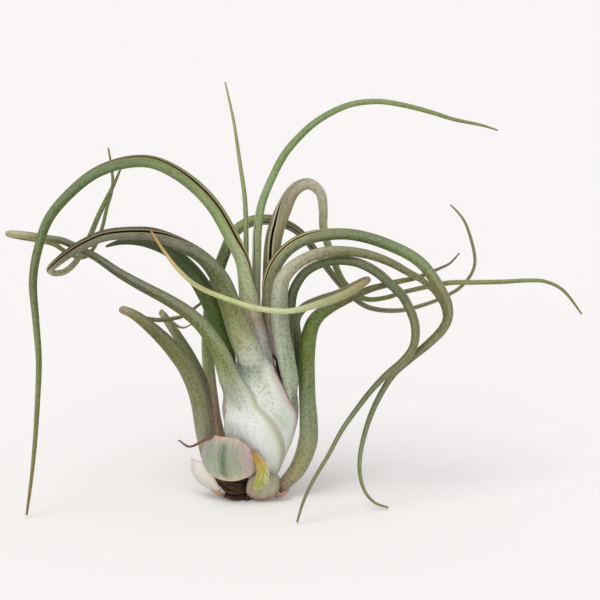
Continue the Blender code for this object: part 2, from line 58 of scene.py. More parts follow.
# Each leaf: material slot, layer on the bulb from the outside in, turn, base rows and blade
# points, all in mm.
# A base row is a height with the directions, in degrees, of the two margins there. lift raises
# the sheath's right margin over the bases that it covers.
# A blade point is x, y, z and width. turn rotates the groove about the leaf, in degrees, at
# places along it: the sheath runs from 0 to 0.2 and the blade from 0.2 to 1.
LEAVES = {
    "leaf_left_wavy": {
        "slot": "olive_leaf", "layer": 0, "turn": [(0.2, 0), (0.3, -45), (1.0, -45)],
        "base": [(8, -205, 4), (12, -196, -8), (16, -186, -22), (20, -176, -36), (25, -164, -50),
                 (31, -153, -68), (37, -146, -92)],
        "blade": [
            (-9.8, -13.8, 48, 7.6), (-12.8, -14.4, 57, 6.6), (-18, -15, 65.6, 6.0),
            (-24, -14.6, 71.4, 5.5), (-31, -13.5, 75.8, 5.0), (-37.4, -12, 79, 4.6),
            (-43.2, -10.4, 81.8, 4.3), (-49.3, -8.4, 85, 3.8), (-56.5, -6.4, 89.6, 3.3),
            (-62, -5, 92.2, 3.1), (-68.5, -4, 95.2, 3.0), (-74, -3.5, 96.2, 2.9),
            (-80, -3, 97.1, 2.9), (-85.4, -2.4, 97.6, 2.9), (-88.6, -0.8, 97.4, 2.7),
            (-86, 1.2, 96.2, 2.4), (-79, 3, 94.4, 2.1), (-73, 4.6, 92.6, 1.9), (-69.6, 6, 90, 1.7),
            (-65.6, 7.6, 87.4, 1.6), (-61.6, 8.2, 87.2, 1.6), (-58.3, 8.2, 91, 1.5),
            (-55.6, 8, 97.6, 1.4), (-53.8, 7.5, 105, 1.3), (-51.8, 6.5, 112, 1.2),
            (-51.6, 6, 118, 1.1), (-52.9, 5, 127.6, 0.6)],
    },
    "leaf_left_mid": {
        "slot": "olive_leaf", "layer": 1, "lift": 1.3,
        "turn": [(0.2, 0), (0.36, -30), (0.46, -90), (0.52, -132), (0.73, -140), (1.0, -90)],
        "base": [(10.5, -180, 34), (16, -168, 22), (20, -160, 14), (25, -152, 4), (31, -143, -10),
                 (37, -138, -34), (43, -143, -46), (49, -147, -59)],
        "blade": [
            (-2.4, -11.9, 55.5, 9.9), (-6.1, -11.4, 64, 8.8), (-9.3, -10.8, 73.6, 7.9),
            (-12.8, -10.4, 82.8, 7.0), (-18, -10, 89.8, 5.9), (-25, -9.8, 94.4, 5.3),
            (-34.6, -9.8, 98.4, 4.8), (-42, -9.8, 99.4, 4.6), (-53, -9.8, 98.6, 4.3),
            (-61, -9.6, 95.4, 4.0), (-67, -9, 91.6, 3.6), (-71.3, -7.8, 88, 3.0),
            (-73.8, -5.8, 85.2, 2.6), (-72.6, -3, 83.4, 2.4), (-69, -0.8, 83.4, 2.3),
            (-65.4, 1.2, 86, 2.2), (-62, 2.8, 91, 2.1), (-59.2, 3.4, 96.9, 2.0),
            (-56.5, 3.4, 103.3, 1.9), (-53.6, 3.2, 109.3, 1.7), (-50.6, 3, 115.4, 1.3),
            (-48.2, 2.5, 121, 0.6)],
    },
    "leaf_left_arch": {
        "slot": "fresh_leaf", "layer": 3.2,
        "turn": [(0.2, 0), (0.25, -30), (0.29, -125), (0.34, -152), (0.42, -150),
                 (0.52, -118), (0.62, -80), (1.0, -60)],
        "base": [(16, -120, -40), (20, -116, -40), (25, -112, -36), (31, -108, -30),
                 (37, -106, -26), (43, -104, -26), (49, -100, -40)],
        "blade": [
            (-0.2, -2.4, 61, 8.4), (-2.0, -2.0, 69, 7.8), (-3.2, -1.2, 77, 6.6), (-4.6, -2, 87, 5.7),
            (-8, -3, 95, 5.6),
            (-15, -5, 108, 5.3), (-24, -6, 117.5, 5.0), (-35, -7, 124, 4.8), (-45, -9, 125, 4.7),
            (-56, -12, 122, 4.5), (-65, -14, 115.5, 4.3), (-73, -17, 106.5, 4.0),
            (-77, -19, 96, 3.7), (-79, -20, 84, 3.4), (-78, -22, 70, 2.8), (-77, -24, 56, 2.4),
            (-77.5, -26, 42, 2.1), (-78.5, -28, 27, 1.8), (-80, -29, 13, 1.4),
            (-81.7, -30, 0.9, 0.9)],
    },
    "leaf_spike": {
        "slot": "fresh_leaf", "layer": 3.8, "turn": [(0.2, 0), (1.0, 0)],
        "base": [(20, 126, 166), (31, 130, 162), (43, 134, 158)],
        "blade": [
            (-4.4, 5, 58, 2.6), (-4, 5.2, 76, 2.2), (-3.6, 4.6, 92, 2.0), (-4, 5, 108.5, 1.8),
            (-5.8, 6, 122, 1.5), (-8, 7, 137, 1.1), (-11, 8, 151, 0.6)],
    },
    "leaf_right_thin_arch": {
        "slot": "fresh_leaf", "layer": 3.4, "turn": [(0.2, -45), (0.45, -60), (0.55, -95), (1.0, -100)],
        "base": [(16, 74, 118), (31, 80, 112), (43, 84, 108)],
        "blade": [
            (0.2, 5.4, 57, 3.2), (0, 6, 75, 3.2), (0.3, 4.6, 90, 3.3), (0.6, 3.4, 98, 3.3),
            (2.5, 3, 109, 3.2), (9, 4, 123.5, 3.2), (15.5, 5, 131.7, 3.0), (23, 6, 138, 2.8),
            (33, 7, 142.8, 2.5), (43, 8, 144, 2.3), (52, 9, 142.7, 2.1), (62, 10, 140, 1.9),
            (71, 11, 137, 1.6), (81, 12, 134.7, 1.2), (87, 12.5, 132.7, 0.6)],
    },
    "leaf_hook": {
        "slot": "olive_leaf", "layer": 0,
        "turn": [(0.2, 20), (0.3, 0), (0.38, -30), (0.43, -85), (1.0, -100)],
        "base": [(8, 20, 160), (16, 28, 152), (25, 38, 142), (31, 44, 136), (37, 50, 130),
                 (43, 56, 124), (49, 62, 118)],
        "blade": [
            (3.6, 12.6, 60, 6.0), (5, 10.6, 73, 6.0), (5.4, 9.2, 84.6, 6.0), (6.6, 9, 94.6, 6.2),
            (9.7, 9.2, 103.8, 6.0), (13.3, 10, 111, 5.4), (18.7, 11.5, 113.5, 4.7),
            (23.2, 13, 109.8, 4.0), (24.2, 14.5, 103, 3.5), (24.4, 15.5, 96, 3.2), (27, 16, 87, 2.8),
            (31.5, 16, 76.5, 2.4), (38.5, 15, 70.5, 2.1), (46, 14, 70.6, 1.8), (54.7, 13, 73.4, 1.8),
            (69, 12, 76.6, 2.0), (79, 11.5, 77, 1.9), (89, 11, 77.3, 1.8), (98, 10, 78, 1.6),
            (105, 10, 77.5, 1.4), (111.5, 10, 74, 1.2), (118, 10, 65.5, 0.6)],
    },
    "leaf_right_outer_arch": {
        "slot": "silver_leaf", "layer": 3,
        "turn": [(0.2, -60), (0.25, -30), (0.3, 15), (0.38, 15),
            (0.46, -35), (0.7, -40), (1.0, -20)],
        "base": [(15, -12, 60), (25, -8, 56), (31, -4, 52), (37, 0, 48), (43, 4, 44), (49, 6, 42)],
        "blade": [
            (5.6, 1.6, 61, 5.6), (4.6, 1.4, 72, 5.6), (5, 1.4, 80, 5.4), (7.6, 1.8, 86.5, 5.2),
            (12.5, 2.8, 91.8, 4.9), (20, 2.5, 95.5, 4.8), (33, 2, 96.8, 4.7), (46.4, 1, 93.6, 4.7),
            (59, -0.5, 87, 4.7), (67, -2, 76, 4.6), (69.2, -3, 69, 4.1), (67.5, -4, 63.5, 3.8),
            (62.3, -6, 58.3, 3.5), (55.8, -8, 53.2, 3.1), (49.7, -10, 48, 2.7), (45, -12, 41.2, 2.5),
            (41.4, -14, 34, 2.3), (39, -16, 27, 2.1), (37.4, -17.5, 19.5, 1.9),
            (37.4, -18.5, 12.5, 1.6), (39.2, -19, 6.6, 1.3), (42.7, -19.3, 2.6, 1.1),
            (47.5, -19.5, 0.9, 0.8)],
    },
    "leaf_right_middle_arch": {
        "slot": "silver_leaf", "layer": 1.0, "lift": 1.2, "turn": [(0.2, 0), (0.5, 20), (1.0, 0)],
        "base": [(13, -64, 4), (20, -56, 0), (25, -46, 0), (31, -40, 3), (37, -38, 4)],
        "blade": [
            (12.2, -6.8, 45, 6.6), (10.5, -9.2, 54.5, 7.0),
            (8.8, -9.6, 64, 7.2), (8.2, -9, 73, 7.1), (8.8, -7.8, 80.5, 6.6), (11.2, -6.8, 84.5, 5.6),
            (15.5, -5.5, 88, 4.9), (21.2, -4, 90.5, 4.5), (27, -2.5, 91.4, 4.1), (33, -1, 91, 3.8),
            (38.2, 0.5, 90, 3.6), (43.6, 2, 88.2, 3.4), (49.3, 3.5, 85.5, 3.1), (54.7, 4.5, 82.2, 2.8),
            (60, 5.2, 79, 2.5), (64.6, 5, 74.6, 2.0), (67.4, 4.6, 69.5, 1.5), (68, 4, 64.5, 0.8)],
    },
    "leaf_right_inner_arch": {
        "slot": "dark_leaf", "layer": 1, "turn": [(0.2, -40), (0.5, 20), (0.7, -40), (1.0, -20)],
        "base": [(10.5, 2, 44), (20, 4, 40), (31, 6, 34), (37, 6, 32), (43, 6, 30)],
        "blade": [
            (12, 0.6, 52, 4.4), (11.4, -1, 61, 4.4), (12.2, -2, 70, 4.2), (13.4, -1, 76.6, 4.0),
            (17, 0.4, 82.4, 3.8), (22, 1, 85.6, 3.6), (28.2, 1, 87.2, 3.6), (34.6, 0.4, 87, 3.6),
            (39.4, -0.8, 85.6, 3.6), (44, -2, 83, 3.6), (48, -3, 79.6, 3.6), (52.4, -4.5, 75.6, 3.6),
            (55.4, -6.5, 70.5, 3.6), (57, -8.5, 66, 3.6), (57.2, -10.5, 61.5, 3.4),
            (56, -12.5, 57.5, 3.3), (52.4, -15, 53.5, 3.1), (46.8, -18, 49.5, 2.6),
            (41, -21, 44, 2.3), (35.6, -24, 37.6, 2.1), (30.6, -27, 31, 1.9), (25.9, -30.5, 23, 1.7),
            (20.5, -34, 14.6, 1.5), (17, -37, 7.6, 1.2), (14.8, -40, 0.9, 0.8)],
    },
    "leaf_right_column": {
        "slot": "olive_leaf", "layer": 0, "base": [],
        "turn": [(0.2, -50), (0.6, -60), (0.75, 0), (1.0, 0)],
        "blade": [
            (7.6, -2, 3.2, 4.0), (11, -1.6, 5.8, 5.0), (15.4, -1.4, 11.4, 6.2), (18.6, -1.2, 20, 7.0),
            (19, -1.2, 28, 6.6), (18.5, -1.2, 36, 6.0), (18.3, -1.2, 44, 5.9), (18.3, -1.2, 52.5, 5.9),
            (19.4, -1.6, 61.5, 5.6), (22, -2.4, 67, 5.0), (27, -3.4, 71, 4.2), (33, -4, 74.2, 3.5),
            (38, -3.4, 76.5, 3.0), (42, -1.6, 77.6, 2.7), (46.2, 1.6, 78, 2.4), (51, 5, 78.6, 2.2),
            (57, 8, 79.2, 1.9), (62, 9, 80.8, 1.6), (66, 9, 82.6, 1.2), (70, 9, 84.6, 0.9),
            (73.4, 9, 88.3, 0.5)],
    },
    "leaf_hairpin": {
        "slot": "pale_leaf", "layer": 0, "turn": [(0.2, 0), (1.0, 0)],
        "base": [(8, -4, 52), (16, 0, 48), (25, 4, 44), (31, 8, 40), (37, 10, 38)],
        "blade": [
            (14.6, 5.6, 46, 4.4), (15, 5, 55, 4.4), (14, 4.4, 64, 4.0), (17, 4.6, 69, 3.4),
            (22.6, 4.6, 72, 3.0), (29, 4, 74.4, 2.7), (34.6, 2.4, 77.6, 2.4), (38.8, -0.6, 80.4, 2.2),
            (40.2, -4.4, 81.2, 2.2), (38.6, -7.4, 80.6, 2.6), (35.4, -9.6, 79.2, 3.2),
            (31, -11.2, 77, 3.5), (23, -13, 74.4, 3.0), (12.2, -15.4, 72.2, 2.3),
            (1.4, -17.6, 73.5, 2.2), (-9.4, -18.8, 77, 2.1), (-20.2, -19.4, 81.8, 1.9),
            (-27.4, -19, 88, 1.6), (-32.8, -18, 95, 1.2), (-37, -17, 101.5, 0.6)],
    },
    "leaf_left_low": {
        "slot": "dark_leaf", "layer": 0, "turn": [(0.2, 50), (0.6, 30), (1.0, 0)], "base": [],
        "blade": [
            (-7.8, -0.8, 3.2, 4.2), (-12.6, -1, 6.4, 5.2), (-16.8, -0.9, 14, 5.8),
            (-19, -2.4, 24, 6.2), (-20.9, -5, 38, 6.7), (-24.4, -6, 48, 6.6), (-28.8, -7, 55, 6.3),
            (-33.5, -7.2, 60.4, 5.6), (-38.9, -7.2, 65.4, 4.7), (-43.4, -6.6, 68.8, 4.0),
            (-47.4, -5.4, 70.4, 3.2), (-47.4, -3.2, 69.4, 2.5), (-43.4, -1.6, 67.4, 2.1),
            (-38.2, -0.5, 66, 1.9), (-34.2, 0, 65.6, 1.8), (-30.2, 0.5, 66, 1.7), (-26, 1, 67, 1.5),
            (-21.4, 2, 70.2, 1.2), (-17.4, 3.2, 73, 0.6)],
    },
    "leaf_left_small": {
        "slot": "dark_leaf", "layer": 0, "turn": [(0.2, 70), (0.7, 30), (1.0, 0)], "base": [],
        "blade": [
            (-7, 3.8, 3.4, 3.0), (-11.6, 4.4, 8, 3.4), (-15.6, 3.6, 18, 3.8), (-17.4, 3, 30, 4.2),
            (-19, 3.2, 41, 4.4), (-23.6, 4, 51, 4.2), (-28, 5, 57.8, 4.0), (-31.7, 5.6, 63.4, 3.4),
            (-34.2, 6.6, 66.8, 2.6), (-33.6, 8.2, 66, 1.9), (-31, 8.8, 63.4, 1.4),
            (-28.6, 8.8, 61.4, 1.0), (-26.2, 8.6, 60.8, 0.8), (-23.4, 8.2, 62.3, 0.5)],
    },
    "leaf_left_grooved": {
        "slot": "dark_leaf", "layer": 1, "turn": [(0.2, 100), (0.9, 80), (1.0, 60)],
        "base": [(10.5, 156, 208), (20, 158, 206), (31, 162, 202), (37, 164, 200)],
        "blade": [
            (-10.4, -1.6, 48, 6.4), (-11.4, -2.8, 56, 7.0), (-14.8, -2.6, 68.6, 7.0),
            (-18.6, -2.4, 77, 6.6), (-23.8, -1.5, 84.4, 5.8), (-31, 0, 90.8, 4.8),
            (-38.2, 1, 93.6, 4.0), (-44, 1.8, 94.2, 3.0), (-49.4, 2.2, 93.6, 2.0), (-54, 2.6, 92, 0.8)],
    },
    "leaf_back_sweep": {
        "slot": "fresh_leaf", "layer": 0, "turn": [(0.2, 90), (0.5, 60), (0.6, 0), (1.0, 0)], "base": [],
        "blade": [
            (-4.8, 7.4, 3.2, 3.4), (-8.6, 9.6, 8, 4.4), (-12.6, 9.6, 17, 5.0), (-15, 9.8, 26, 5.0),
            (-16.4, 9.8, 36, 5.0), (-17.4, 10, 47, 5.0), (-17.6, 10, 57, 5.0), (-16.6, 10.4, 69, 5.0),
            (-14, 11, 80, 5.0), (-11.2, 12, 88, 4.9), (-8, 13, 95, 4.6), (-2.2, 14.6, 98.8, 4.2),
            (3.6, 15.6, 99.4, 3.9), (9, 17, 98.2, 3.5), (16.6, 19.5, 93, 3.0), (25.2, 21.5, 81, 2.5),
            (30.6, 21.5, 74, 2.2), (36.4, 21, 68.4, 2.0), (42.5, 20, 65.4, 1.8), (52.2, 18, 65.2, 1.7),
            (61.9, 16.6, 67.9, 1.5), (70, 15.6, 71.6, 1.4), (75, 15.4, 75.2, 1.3),
            (78.6, 15.4, 80.5, 1.2), (79.2, 15, 86, 1.2), (77, 14, 95, 1.1), (74.5, 14, 100.4, 0.9),
            (70.2, 13.5, 105.3, 0.5)],
    },
}


def between(table, at):
    if at <= table[0][0]:
        return table[0][1]
    for (x0, y0), (x1, y1) in zip(table, table[1:]):
        if at <= x1:
            return y0 + (y1 - y0) * (at - x0) / (x1 - x0)
    return table[-1][1]


def smooth(low, high, at):
    t = max(0.0, min(1.0, (at - low) / (high - low)))
    return t * t * (3 - 2 * t)


def heading(degrees):
    return Vector((cos(radians(degrees)), sin(radians(degrees)), 0))


class Station:
    """One section of a leaf: where it is, how wide its strip is and how far it is rolled."""

    def __init__(self, middle, half_width, wrap, wall, upright, sheath, lift, outward=None):
        self.middle = middle
        self.half_width = half_width
        self.wrap = wrap
        self.wall = wall
        self.upright = upright
        self.sheath = sheath
        self.lift = lift
        self.outward = outward


def leaf_stations(leaf):
    stations = []
    for height, left, right in leaf["base"]:
        radius = between(BULB, height) - LAYER_STEP * leaf["layer"]
        wrap = radians(abs(right - left)) / 2
        outward = heading((left + right) / 2)
        middle = Vector((AXIS_X, 0, height)) + outward * radius * sin(wrap) / wrap
        lift = leaf.get("lift", 0.0)
        stations.append(
            Station(middle, radius * wrap, wrap, SHEATH_WALL, 1.0, 1.0, lift, outward))
    for x, y, z, width in leaf["blade"]:
        wall = BLADE_WALL * width
        radius = (width - wall) / 2
        stations.append(
            Station(Vector((x, y, z)), radius * FULL_WRAP, FULL_WRAP, wall, 0.0, 0.0, 0.0))
    return stations


def spline(values, i, t):
    """Catmull-Rom between values i and i + 1."""
    last = len(values) - 1
    a, b = values[max(i - 1, 0)], values[i]
    c, d = values[i + 1], values[min(i + 2, last)]
    return 0.5 * (b * 2 + (c - a) * t + (a * 2 - b * 5 + c * 4 - d) * t * t
                  + (b * 3 - a - c * 3 + d) * t ** 3)


def fine_stations(stations):
    """Evenly fine stations on a smooth curve through the given ones."""
    fine = []
    for i in range(len(stations) - 1):
        here, after = stations[i], stations[i + 1]
        steps = max(2, round((after.middle - here.middle).length / RING_GAP))
        for step in range(steps + (i == len(stations) - 2)):
            t = step / steps
            ease = smooth(0.0, 1.0, t) if here.upright != after.upright else t
            mixed = [a + (b - a) * ease for a, b in (
                (here.half_width, after.half_width), (here.wrap, after.wrap),
                (here.wall, after.wall), (here.upright, after.upright),
                (here.sheath, after.sheath), (here.lift, after.lift))]
            middle = spline([s.middle for s in stations], i, t)
            outward = None
            if here.outward and after.outward:
                outward = here.outward.lerp(after.outward, t).normalized()
            fine.append(Station(middle, *mixed, outward))
    return fine


def section(station, wobble):
    """Outline of one section as (across, reach, inner): outer side, then inner side back.

    across runs from -1 to 1 between the margins. The blade thins towards its margins, which
    press inward a little, so the two roll into a narrow groove.
    """
    radius = station.half_width / station.wrap
    tuck = (0.30 * (1 - station.sheath)) * radius + 0.35 * station.sheath
    points = []
    for steps, inner in ((OUTER_STEPS, 0.0), (INNER_STEPS, 1.0)):
        for step in range(steps + 1):
            across = 2 * step / steps - 1
            if inner:
                across *= -0.985
            edge = abs(across)
            wall = station.wall * (1 - 0.72 * smooth(0.45, 1.0, edge))
            pressed = tuck * smooth(0.62, 1.0, edge) ** 1.5
            reach = radius + station.wall / 2 - pressed + wobble(across)
            reach += station.lift * smooth(-0.1, 0.9, across)
            if inner:
                reach -= wall
            points.append((across, reach, inner))
    return points


def loft(name, stations, turn, seed):
    """Build the leaf's mesh with its attributes."""
    fine = fine_stations(stations)
    count = len(fine)
    middles = [s.middle for s in fine]
    travelled = [0.0]
    for a, b in zip(middles, middles[1:]):
        travelled.append(travelled[-1] + (b - a).length)
    total = travelled[-1]
    blade_start = next((d for s, d in zip(fine, travelled) if s.sheath < 0.5), 0.0)
    verts, faces, place, state = [], [], [], []
    back = fine[0].outward or Vector((middles[1].x, middles[1].y, 0)).normalized()
    for i, station in enumerate(fine):
        along = (middles[min(i + 1, count - 1)] - middles[max(i - 1, 0)]).normalized()
        along = along.lerp(Vector((0, 0, 1)), station.upright).normalized()
        if station.outward and station.upright > 0.5:
            back = station.outward.copy()
        back = (back - along * back.dot(along)).normalized()
        share = max(0.0, travelled[i] - blade_start) / max(1.0, total - blade_start)
        leaf_share = 0.2 + 0.8 * share if share else 0.2 * travelled[i] / max(1.0, blade_start)
        degrees = between(turn, leaf_share) * (1 - station.sheath)
        side = along.cross(back)
        facing = back * cos(radians(degrees)) + side * sin(radians(degrees))
        side = along.cross(facing)
        radius = station.half_width / station.wrap
        centre = station.middle - facing * radius * sin(station.wrap) / station.wrap

        def wobble(across, d=travelled[i], r=radius):
            ripple = noise.noise(Vector((across * 1.7 + seed, d * 0.045, seed * 3.1)))
            fold = noise.noise(Vector((across * 5.0, d * 0.02 + seed, 7.7 + seed)))
            return min(r, 4.0) * (0.035 * ripple + 0.02 * fold)

        for across, reach, inner in section(station, wobble):
            angle = across * station.wrap
            point = centre + (facing * cos(angle) + side * sin(angle)) * reach
            verts.append(point * MM)
            place.append((across * station.half_width, travelled[i], seed))
            state.append((across, leaf_share, inner, station.sheath))
    ring = OUTER_STEPS + INNER_STEPS + 2
    for i in range(count - 1):
        for j in range(ring):
            k = (j + 1) % ring
            a, b = i * ring, (i + 1) * ring
            faces.append((a + j, a + k, b + k, b + j))
    close_end(faces, 0, ring, True)
    close_end(faces, (count - 1) * ring, ring, False)
    return make_object(name, verts, faces, place, state)


def close_end(faces, first, ring, reverse):
    """Fill an end between its outer and inner side with a strip of triangles."""
    outer = list(range(first, first + OUTER_STEPS + 1))
    inner = list(range(first + ring - 1, first + OUTER_STEPS, -1))
    i = j = 0
    while i < len(outer) - 1 or j < len(inner) - 1:
        if j >= len(inner) - 1 or (i < len(outer) - 1 and i * len(inner) <= j * len(outer)):
            face = (outer[i], outer[i + 1], inner[j])
            i += 1
        else:
            face = (outer[i], inner[j + 1], inner[j])
            j += 1
        faces.append(face[::-1] if reverse else face)


def make_object(name, verts, faces, place, state):
    mesh = bpy.data.meshes.new(name)
    mesh.from_pydata([tuple(v) for v in verts], [], faces)
    mesh.update()
    if place:
        flat = mesh.attributes.new("leaf_place", "FLOAT_VECTOR", "POINT")
        flat.data.foreach_set("vector", [c for p in place for c in p])
        for slot_index, label in enumerate(("across", "along", "inner", "sheath")):
            layer = mesh.attributes.new(label, "FLOAT", "POINT")
            layer.data.foreach_set("value", [s[slot_index] for s in state])
    mesh.shade_smooth()
    obj = bpy.data.objects.new(name, mesh)
    bpy.context.scene.collection.objects.link(obj)
    return obj


def tint(colour):
    """Linear colour of an sRGB one given out of 255."""
    linear = []
    for part in colour:
        share = part / 255
        linear.append(share / 12.92 if share <= 0.04045 else ((share + 0.055) / 1.055) ** 2.4)
    return (*linear, 1.0)


class Nodes:
    """Short helpers to build a material's node tree."""

    def __init__(self, name):
        self.material = bpy.data.materials.new(name)
        self.material.use_nodes = True
        self.tree = self.material.node_tree
        self.shader = self.tree.nodes["Principled BSDF"]

    def put(self, target, value):
        if isinstance(value, bpy.types.NodeSocket):
            self.tree.links.new(value, target)
        elif isinstance(value, tuple) and len(value) == 3 and target.type == "RGBA":
            target.default_value = tint(value)
        else:
            target.default_value = value

    def attribute(self, name, output="Fac"):
        node = self.tree.nodes.new("ShaderNodeAttribute")
        node.attribute_name = name
        return node.outputs[output]

    def math(self, operation, a, b=0.0, c=0.0, clamp=False):
        node = self.tree.nodes.new("ShaderNodeMath")
        node.operation = operation
        node.use_clamp = clamp
        for socket, value in zip(node.inputs, (a, b, c)):
            self.put(socket, value)
        return node.outputs[0]

    def stretch(self, vector, scale):
        node = self.tree.nodes.new("ShaderNodeMapping")
        self.put(node.inputs["Vector"], vector)
        node.inputs["Scale"].default_value = scale
        return node.outputs[0]

    def noise(self, vector, scale, detail=3.0, roughness=0.55):
        node = self.tree.nodes.new("ShaderNodeTexNoise")
        self.put(node.inputs["Vector"], vector)
        node.inputs["Scale"].default_value = scale
        node.inputs["Detail"].default_value = detail
        node.inputs["Roughness"].default_value = roughness
        return node.outputs["Fac"]

    def cells(self, vector, scale):
        node = self.tree.nodes.new("ShaderNodeTexVoronoi")
        self.put(node.inputs["Vector"], vector)
        node.inputs["Scale"].default_value = scale
        return node.outputs["Distance"]

    def ramp(self, value, stops):
        node = self.tree.nodes.new("ShaderNodeValToRGB")
        node.color_ramp.interpolation = "LINEAR"
        elements = node.color_ramp.elements
        while len(elements) < len(stops):
            elements.new(0.5)
        for element, (position, colour) in zip(elements, stops):
            element.position = position
            element.color = tint(colour)
        self.put(node.inputs["Fac"], value)
        return node.outputs["Color"]

    def span(self, value, low, high):
        """0 below low, 1 above high, smooth between."""
        node = self.tree.nodes.new("ShaderNodeMapRange")
        node.interpolation_type = "SMOOTHSTEP"
        self.put(node.inputs["Value"], value)
        node.inputs["From Min"].default_value = low
        node.inputs["From Max"].default_value = high
        return node.outputs["Result"]

    def mix(self, factor, a, b):
        node = self.tree.nodes.new("ShaderNodeMix")
        node.data_type = "RGBA"
        self.put(node.inputs[0], factor)
        self.put(node.inputs[6], a)
        self.put(node.inputs[7], b)
        return node.outputs[2]

    def bump(self, height, strength, distance, below=None):
        node = self.tree.nodes.new("ShaderNodeBump")
        node.inputs["Strength"].default_value = strength
        node.inputs["Distance"].default_value = distance
        self.put(node.inputs["Height"], height)
        if below is not None:
            self.put(node.inputs["Normal"], below)
        return node.outputs["Normal"]


